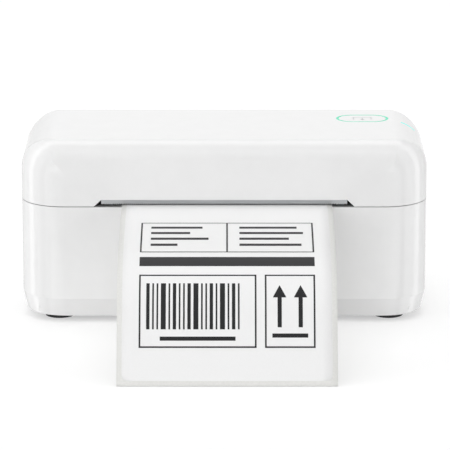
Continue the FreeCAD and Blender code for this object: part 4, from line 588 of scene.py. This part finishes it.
def coil_height(turn):
    """Height of the wire's middle after some turns, with the end turns wound closer."""
    part = turn / SPRING_TURNS
    eased = part - END_CLOSING * math.sin(math.tau * part) / math.tau
    return SPRING_LOW + WIRE_RADIUS + (SPRING_HIGH - SPRING_LOW - 2 * WIRE_RADIUS) * eased


for side, sign in (("left", -1), ("right", 1)):
    points, faces = [], []
    steps = SPRING_TURNS * STEPS_A_TURN
    for step in range(steps + 1):
        turn = step / STEPS_A_TURN
        angle = math.tau * turn
        for k in range(WIRE_SIDES):
            around = math.tau * k / WIRE_SIDES
            out = COIL_RADIUS + WIRE_RADIUS * math.cos(around)
            points.append((
                sign * SPRING_X + out * math.cos(angle), SPRING_Y + out * math.sin(angle),
                coil_height(turn) + WIRE_RADIUS * math.sin(around),
            ))
    for step in range(steps):
        for k in range(WIRE_SIDES):
            a, b = step * WIRE_SIDES + k, step * WIRE_SIDES + (k + 1) % WIRE_SIDES
            faces.append((a, a + WIRE_SIDES, b + WIRE_SIDES, b))
    faces.append(tuple(range(WIRE_SIDES)))
    faces.append(tuple(reversed(range(steps * WIRE_SIDES, (steps + 1) * WIRE_SIDES))))
    spring = add_piece(f"head_spring_{side}", points, faces, "turned_steel", "cover")
    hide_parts("head_springs")
    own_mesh(spring)
print(f"springs: {(SPRING_HIGH - SPRING_LOW) / MM:.1f} mm long")

# %% [markdown]
# The wires to the lit button run in a soft sleeve from the main board, up past the hinge and across the
# cover. The points are those of the engineering model, and a NURBS spline through their neighbourhood gives
# the easy curve of a limp sleeve. The spline is made as a curve object, read as a line of points, and put
# away again.

# %% Harness route
HARNESS_ROUTE_MM = (
    (-47.6, 31.5, 13.7), (-63, 31.5, 13.7), (-79.5, 30.5, 17.7), (-88.5, 29, 35.7), (-88.5, 28.5, 56),
    (-88.5, 28, 78.5), (-88, 20, 86), (-78.5, 14.2, 86), (-52.8, 11.2, 86), (-12.7, 10.2, 86),
    (27.4, 12.2, 86), (54.5, 14.2, 86),
)
ROUTE_STEPS = 8

route = bpy.data.curves.new("harness_route", "CURVE")
route.dimensions = "3D"
route.resolution_u = ROUTE_STEPS
spline = route.splines.new("NURBS")
spline.points.add(len(HARNESS_ROUTE_MM) - 1)
for point, place in zip(spline.points, HARNESS_ROUTE_MM):
    point.co = (*[p * MM for p in place], 1)
spline.order_u = 3
spline.use_endpoint_u = True
guide = bpy.data.objects.new("harness_route", route)
bpy.context.scene.collection.objects.link(guide)
bpy.context.view_layer.update()
line_mesh = bpy.data.meshes.new_from_object(guide)
line = [v.co.copy() for v in line_mesh.vertices]
bpy.data.objects.remove(guide)

# %% [markdown]
# The sleeve is a tube round that line. A ring of points is set square to the line at each step, and its
# sideways direction is carried on from ring to ring, so that the tube never twists.

# %% Harness sleeve
HARNESS_RADIUS = 1.6 * MM
HARNESS_SIDES = 12

points, faces = [], []
side_way = Vector((0, 1, 0))
for i, middle in enumerate(line):
    ahead = (line[min(i + 1, len(line) - 1)] - line[max(i - 1, 0)]).normalized()
    side_way = (side_way - ahead * side_way.dot(ahead)).normalized()
    up_way = ahead.cross(side_way)
    for k in range(HARNESS_SIDES):
        around = math.tau * k / HARNESS_SIDES
        points.append(middle + (side_way * math.cos(around) + up_way * math.sin(around)) * HARNESS_RADIUS)
for i in range(len(line) - 1):
    for k in range(HARNESS_SIDES):
        a, b = i * HARNESS_SIDES + k, i * HARNESS_SIDES + (k + 1) % HARNESS_SIDES
        faces.append((a, b, b + HARNESS_SIDES, a + HARNESS_SIDES))
faces.append(tuple(reversed(range(HARNESS_SIDES))))
faces.append(tuple(range((len(line) - 1) * HARNESS_SIDES, len(line) * HARNESS_SIDES)))
harness = add_piece("wire_harness", points, faces, "cable_sleeve")
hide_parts("cover_harness")
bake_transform(harness)
print(f"harness sleeve: {2 * HARNESS_RADIUS / MM:.1f} mm thick")

# %% [markdown]
# A silicone pad presses ink onto a finished moulding, where it lies a few micrometres thick. Each mark is
# drawn as small patches, which are dropped onto the face below along a straight line, so that they follow
# it. They lie a little higher than real ink, so that the face never shows through.

# %% Pad printing
MARK_LIFT = 0.015 * MM
# How far outside the printer a corner's drop starts
DROP_START = 200 * MM


def patch(across, along, width, height):
    """The corners of an upright rectangle round a point, in millimetres."""
    turns = ((-1, -1), (1, -1), (1, 1), (-1, 1))
    return [(across + sx * width / 2, along + sy * height / 2) for sx, sy in turns]


def ring_patches(across, along, radius, line, count=24):
    """A ring as short patches."""
    spots = [(math.cos(math.tau * i / count), math.sin(math.tau * i / count)) for i in range(count + 1)]
    inner, outer = radius - line / 2, radius + line / 2
    return [
        [(across + r * c, along + r * s) for r, (c, s) in ((inner, a), (outer, a), (outer, b), (inner, b))]
        for a, b in zip(spots, spots[1:])
    ]


def pad_mark(name, node, body, finish, patches, to_world, outward):
    """Drop patches onto a loaded piece against its outward direction and lift them by the ink's thickness."""
    points, faces = [], []
    for corners in patches:
        for corner in corners:
            start = to_world(*[c * MM for c in corner]) + outward * DROP_START
            hit, place, _, _ = frame["nodes"][node].ray_cast(start, -outward)
            if not hit:
                raise ValueError(f"{name} misses {node}")
            points.append(place + outward * MARK_LIFT)
        first = len(points) - len(corners)
        faces.append(tuple(range(first, len(points))))
    add_piece(name, points, faces, finish, body)


print("marks can be printed")

# %% [markdown]
# Two marks finish the controls: a plain feed symbol on the button, which is an open tray with an arrow out
# of it, and the usual line and ring on the power rocker. They are placed from the middle of the piece that
# they are printed on, in millimetres.

# %% Button and rocker marks
SYMBOL_LINE = 0.5
TRAY_WIDTH, TRAY_DEPTH = 9.0, 5.0
SHAFT_BACK, SHAFT_LENGTH = 0.6, 3.0
TIP_BASE, TIP_END, TIP_HALF = 2.1, 4.0, 1.2
cap_low, cap_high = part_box("button_cap")
cap_x, cap_y = (cap_low.x + cap_high.x) / 2 / MM, (cap_low.y + cap_high.y) / 2 / MM
tray_sides = [
    patch(cap_x + side * TRAY_WIDTH / 2, cap_y, SYMBOL_LINE, TRAY_DEPTH + SYMBOL_LINE) for side in (-1, 1)
]
tray_floor = patch(cap_x, cap_y + TRAY_DEPTH / 2, TRAY_WIDTH - SYMBOL_LINE, SYMBOL_LINE)
shaft = patch(cap_x, cap_y - SHAFT_BACK, SYMBOL_LINE, SHAFT_LENGTH)
arrow_tip = [
    (cap_x - TIP_HALF, cap_y - TIP_BASE), (cap_x, cap_y - TIP_END), (cap_x + TIP_HALF, cap_y - TIP_BASE),
]
pad_mark(
    "button_symbol", "button_cap", "button", "pad_print_grey", [*tray_sides, tray_floor, shaft, arrow_tip],
    lambda x, y: Vector((x, y, 0)), Vector((0, 0, 1)),
)
MARK_REACH = 4.6
ON_WIDTH, ON_HEIGHT = 0.6, 3.2
OFF_RADIUS, OFF_LINE = 1.5, 0.5
rocker_low, rocker_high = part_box("switch_rocker")
rocker_x, rocker_z = (rocker_low.x + rocker_high.x) / 2 / MM, (rocker_low.z + rocker_high.z) / 2 / MM
on_mark = patch(rocker_x - MARK_REACH, rocker_z, ON_WIDTH, ON_HEIGHT)
off_mark = ring_patches(rocker_x + MARK_REACH, rocker_z, OFF_RADIUS, OFF_LINE)
pad_mark(
    "rocker_marks", "switch_rocker", "rocker", "pad_print_white", [on_mark, *off_mark],
    lambda x, z: Vector((x, 0, z)), Vector((0, 1, 0)),
)
print("pad printed marks on the button and the rocker")

# %% [markdown]
# The floor is board with rolled white paint, quite matt. It catches the printer's shadow. In a picture
# with a white ground the floor is lit more than the object; here the camera sees a blend of the lit floor
# and white instead, which lifts the floor without putting more light on the printer. Near the printer the
# white has a small share, so that the shadow stays; further out, where the lamps fade, it takes over.

# %% Floor finish
# Distances from the printer in metres, and the white's share and level at both
NEAR_PRINTER, FAR_OFF = 0.25, 0.9
SHARE_NEAR, SHARE_FAR = 0.35, 1.0
LEVEL_NEAR, LEVEL_FAR = 1.33, 1.0
floor_finish, tree, shader = new_finish("paint_rolled_white", "#FAFAFA", Roughness=0.9, IOR=1.4)
rays = add_node(tree, "ShaderNodeLightPath")
clear = add_node(
    tree, "ShaderNodeMath", links={0: rays.outputs["Is Glossy Ray"], 1: rays.outputs["Is Transmission Ray"]},
    operation="MAXIMUM",
)
direct = add_node(
    tree, "ShaderNodeMath", links={0: rays.outputs["Is Camera Ray"], 1: clear.outputs[0]},
    operation="MAXIMUM",
)
place = add_node(tree, "ShaderNodeTexCoord")
reach = add_node(tree, "ShaderNodeVectorMath", links={0: place.outputs["Object"]}, operation="LENGTH")
share, level = (
    add_node(
        tree, "ShaderNodeMapRange",
        {"From Min": NEAR_PRINTER, "From Max": FAR_OFF, "To Min": near, "To Max": far},
        {"Value": reach.outputs["Value"]},
    )
    for near, far in ((SHARE_NEAR, SHARE_FAR), (LEVEL_NEAR, LEVEL_FAR))
)
seen_share = add_node(
    tree, "ShaderNodeMath", links={0: share.outputs["Result"], 1: direct.outputs[0]}, operation="MULTIPLY",
)
white = add_node(
    tree, "ShaderNodeEmission", {"Color": linear("#FFFFFF")}, {"Strength": level.outputs["Result"]},
)
# The mix shader's two shaders are its second and third inputs
blend = add_node(
    tree, "ShaderNodeMixShader", links={0: seen_share.outputs[0], 1: shader.outputs[0], 2: white.outputs[0]},
)
tree.links.new(blend.outputs[0], tree.nodes["Material Output"].inputs["Surface"])
print(f"floor finish: white from {SHARE_NEAR} near the printer to {SHARE_FAR} far off")

# %% [markdown]
# The floor itself is one large square under the printer, wide enough that its edge is never in the picture.
# Mirror reflections leave it out, because the room of a later step holds the table that they show.

# %% Floor
FLOOR_SIZE = 6.0
corners = [(sx * FLOOR_SIZE / 2, sy * FLOOR_SIZE / 2, 0) for sx, sy in ((-1, -1), (1, -1), (1, 1), (-1, 1))]
floor_mesh = bpy.data.meshes.new("floor")
floor_mesh.from_pydata(corners, [], [(0, 1, 2, 3)])
floor_mesh.materials.append(floor_finish)
floor = bpy.data.objects.new("floor", floor_mesh)
floor.visible_glossy = False
bpy.context.scene.collection.objects.link(floor)
print(f"floor: {FLOOR_SIZE} m")

# %% [markdown]
# The light is that of a product table with white all round: the casing keeps gentle tones on every side and
# the shadow stays soft. A soft box overhead makes the top the brightest face. One low in front and left of
# the middle, one on each side and a wide one behind fill the walls. The lamps only light the scene: neither
# the camera nor the polished casing sees them, because the room of the next steps stands for what the casing
# mirrors.

# %% Lamps
SOFT_BOXES = {
    # name: place and size across and up in metres, power in watts
    "overhead": ((-0.1, 0.0, 1.35), (1.2, 1.2), 7.8),
    "front_fill": ((-0.45, -2.4, 0.4), (0.8, 0.8), 8.1),
    "left_fill": ((-1.5, -0.6, 0.45), (0.8, 0.9), 7.4),
    "right_fill": ((1.5, -0.6, 0.45), (0.8, 0.9), 6.6),
    "back_fill": ((0.0, 1.9, 0.7), (2.2, 0.9), 11.0),
}
TARGET = Vector((0, 0, 0.05))
for name, (place, (across, up), watts) in SOFT_BOXES.items():
    light = bpy.data.lights.new(name, "AREA")
    light.shape = "RECTANGLE"
    light.size = across
    light.size_y = up
    light.energy = watts
    lamp = bpy.data.objects.new(name, light)
    lamp.location = place
    lamp.rotation_euler = (TARGET - Vector(place)).to_track_quat("-Z", "Y").to_euler()
    lamp.visible_camera = False
    lamp.visible_glossy = False
    bpy.context.scene.collection.objects.link(lamp)
print(f"lamps: {len(SOFT_BOXES)} soft boxes")

# %% [markdown]
# Polished plastic shows its surroundings. In a studio those are upright strip lights beside the object with
# gaps between them, which draw the upright bands on the casing's round corners, and a soft box in a dim
# ceiling, which draws the band along its front edge. Straight ahead the front mirrors the bright table at
# its foot and the dimmer room further off. An environment picture could hold all that; here ramps do, one
# round the walls, one down to the table and one over the ceiling from front to back. A level of 1 is white.

# %% Levels of the room
FRONT, GAP, STRIP, BEHIND = 0.8, 0.0, 1.9, 1.08
LEFT_WALL = (
    # degrees from the front, level
    (0, FRONT), (52, FRONT), (56, GAP), (68, GAP), (73, 0.6), (90, 0.6), (94, STRIP), (107, STRIP),
    (112, 0.8), (164, 0.75), (176, BEHIND),
)
RIGHT_WALL = (
    (0, FRONT), (46, FRONT), (48, GAP), (57, GAP), (62, 0.9), (90, 0.9), (94, STRIP), (109, STRIP),
    (114, 0.7), (145, 0.7), (164, 0.82), (176, BEHIND),
)
CEILING = (
    # degrees from the front horizon over the top, level
    (0, 0.2), (51, 0.2), (52, 0.7), (57, 0.7), (58, 0.05), (86, 0.05), (99, 1.9), (136, 1.9), (140, 1.2),
    (180, 1.2),
)
CEILING_START = 45
TABLE_NEAR, TABLE_FAR = 1.7, 0.5
# A direction's upward part, which is below 0 here, where the table is near and where it is far
DOWN_NEAR, DOWN_FAR = -0.258, -0.24
# A direction counts as ahead where its forward part is over this
AHEAD = 0.75


def fill_ramp(ramp, stops):
    """Set a colour ramp to grey levels at places from 0 to 1."""
    stops = sorted(stops)
    for place, _ in stops[2:]:
        ramp.elements.new(place)
    for element, (place, level) in zip(ramp.elements, stops):
        element.position = place
        element.color = (level, level, level, 1)


print(f"room: {len(LEFT_WALL) + len(RIGHT_WALL)} stops round the walls, {len(CEILING)} over the ceiling")

# %% [markdown]
# The world's shader gets a direction and gives a level. The direction is split into its parts: its compass
# angle picks the place on the walls, its angle over the top picks the place on the ceiling, and its upward
# part says whether it is the ceiling at all or, ahead, how near the table is.

# %% Directions and levels
world = bpy.data.worlds.new("studio")
world.use_nodes = True
bpy.context.scene.world = world
tree = world.node_tree
towards = add_node(tree, "ShaderNodeTexCoord")
parts = add_node(tree, "ShaderNodeSeparateXYZ", links={0: towards.outputs["Generated"]})
compass = add_node(
    tree, "ShaderNodeMath", links={0: parts.outputs["X"], 1: parts.outputs["Y"]}, operation="ARCTAN2",
)
# From the front over the left and the back to the right, the compass goes from 0 to 1
round_room = add_node(
    tree, "ShaderNodeMapRange", {"From Min": -math.pi, "From Max": math.pi}, {"Value": compass.outputs[0]},
)
walls = add_node(tree, "ShaderNodeValToRGB", links={"Fac": round_room.outputs["Result"]})
fill_ramp(
    walls.color_ramp,
    [(degrees / 360, level) for degrees, level in LEFT_WALL]
    + [(1 - degrees / 360, level) for degrees, level in RIGHT_WALL],
)
forward = add_node(tree, "ShaderNodeMath", {1: -1.0}, {0: parts.outputs["Y"]}, operation="MULTIPLY")
table = add_node(
    tree, "ShaderNodeMapRange",
    {"From Min": DOWN_NEAR, "From Max": DOWN_FAR, "To Min": TABLE_NEAR, "To Max": TABLE_FAR},
    {"Value": parts.outputs["Z"]},
)
ahead = add_node(tree, "ShaderNodeMath", {1: AHEAD}, {0: forward.outputs[0]}, operation="GREATER_THAN")
# The mix node takes numbers at its first, third and fourth inputs
level_room = add_node(
    tree, "ShaderNodeMix",
    links={0: ahead.outputs[0], 2: walls.outputs["Color"], 3: table.outputs["Result"]}, data_type="FLOAT",
)
over = add_node(
    tree, "ShaderNodeMath", links={0: parts.outputs["Z"], 1: forward.outputs[0]}, operation="ARCTAN2",
)
over_room = add_node(tree, "ShaderNodeMapRange", {"From Max": math.pi}, {"Value": over.outputs[0]})
ceiling = add_node(tree, "ShaderNodeValToRGB", links={"Fac": over_room.outputs["Result"]})
fill_ramp(ceiling.color_ramp, [(degrees / 180, level) for degrees, level in CEILING])
above = add_node(
    tree, "ShaderNodeMath", {1: math.sin(math.radians(CEILING_START))}, {0: parts.outputs["Z"]},
    operation="GREATER_THAN",
)
room = add_node(
    tree, "ShaderNodeMix",
    links={0: above.outputs[0], 2: level_room.outputs[0], 3: ceiling.outputs["Color"]}, data_type="FLOAT",
)
print(f"world: {len(tree.nodes)} nodes from direction to level")

# %% [markdown]
# Only mirror reflections and light through clear pieces see that room. What lights the object is an even
# white, and the camera sees plain white. The view transform is the plain one, so that a colour shows about
# as it is written.

# %% What each ray sees
WORLD_FILL = 0.36
WHITE = 1.0
rays = add_node(tree, "ShaderNodeLightPath")
mirrored = add_node(
    tree, "ShaderNodeMath", links={0: rays.outputs["Is Glossy Ray"], 1: rays.outputs["Is Transmission Ray"]},
    operation="MAXIMUM",
)
lit = add_node(
    tree, "ShaderNodeMix", {2: WORLD_FILL}, {0: mirrored.outputs[0], 3: room.outputs[0]}, data_type="FLOAT",
)
seen = add_node(
    tree, "ShaderNodeMix", {3: WHITE}, {0: rays.outputs["Is Camera Ray"], 2: lit.outputs[0]},
    data_type="FLOAT",
)
background = tree.nodes["Background"]
background.inputs["Color"].default_value = linear("#FFFFFF")
tree.links.new(seen.outputs[0], background.inputs["Strength"])
bpy.context.scene.view_settings.view_transform = "Standard"
print(f"world: even light of {WORLD_FILL}, white to the camera")
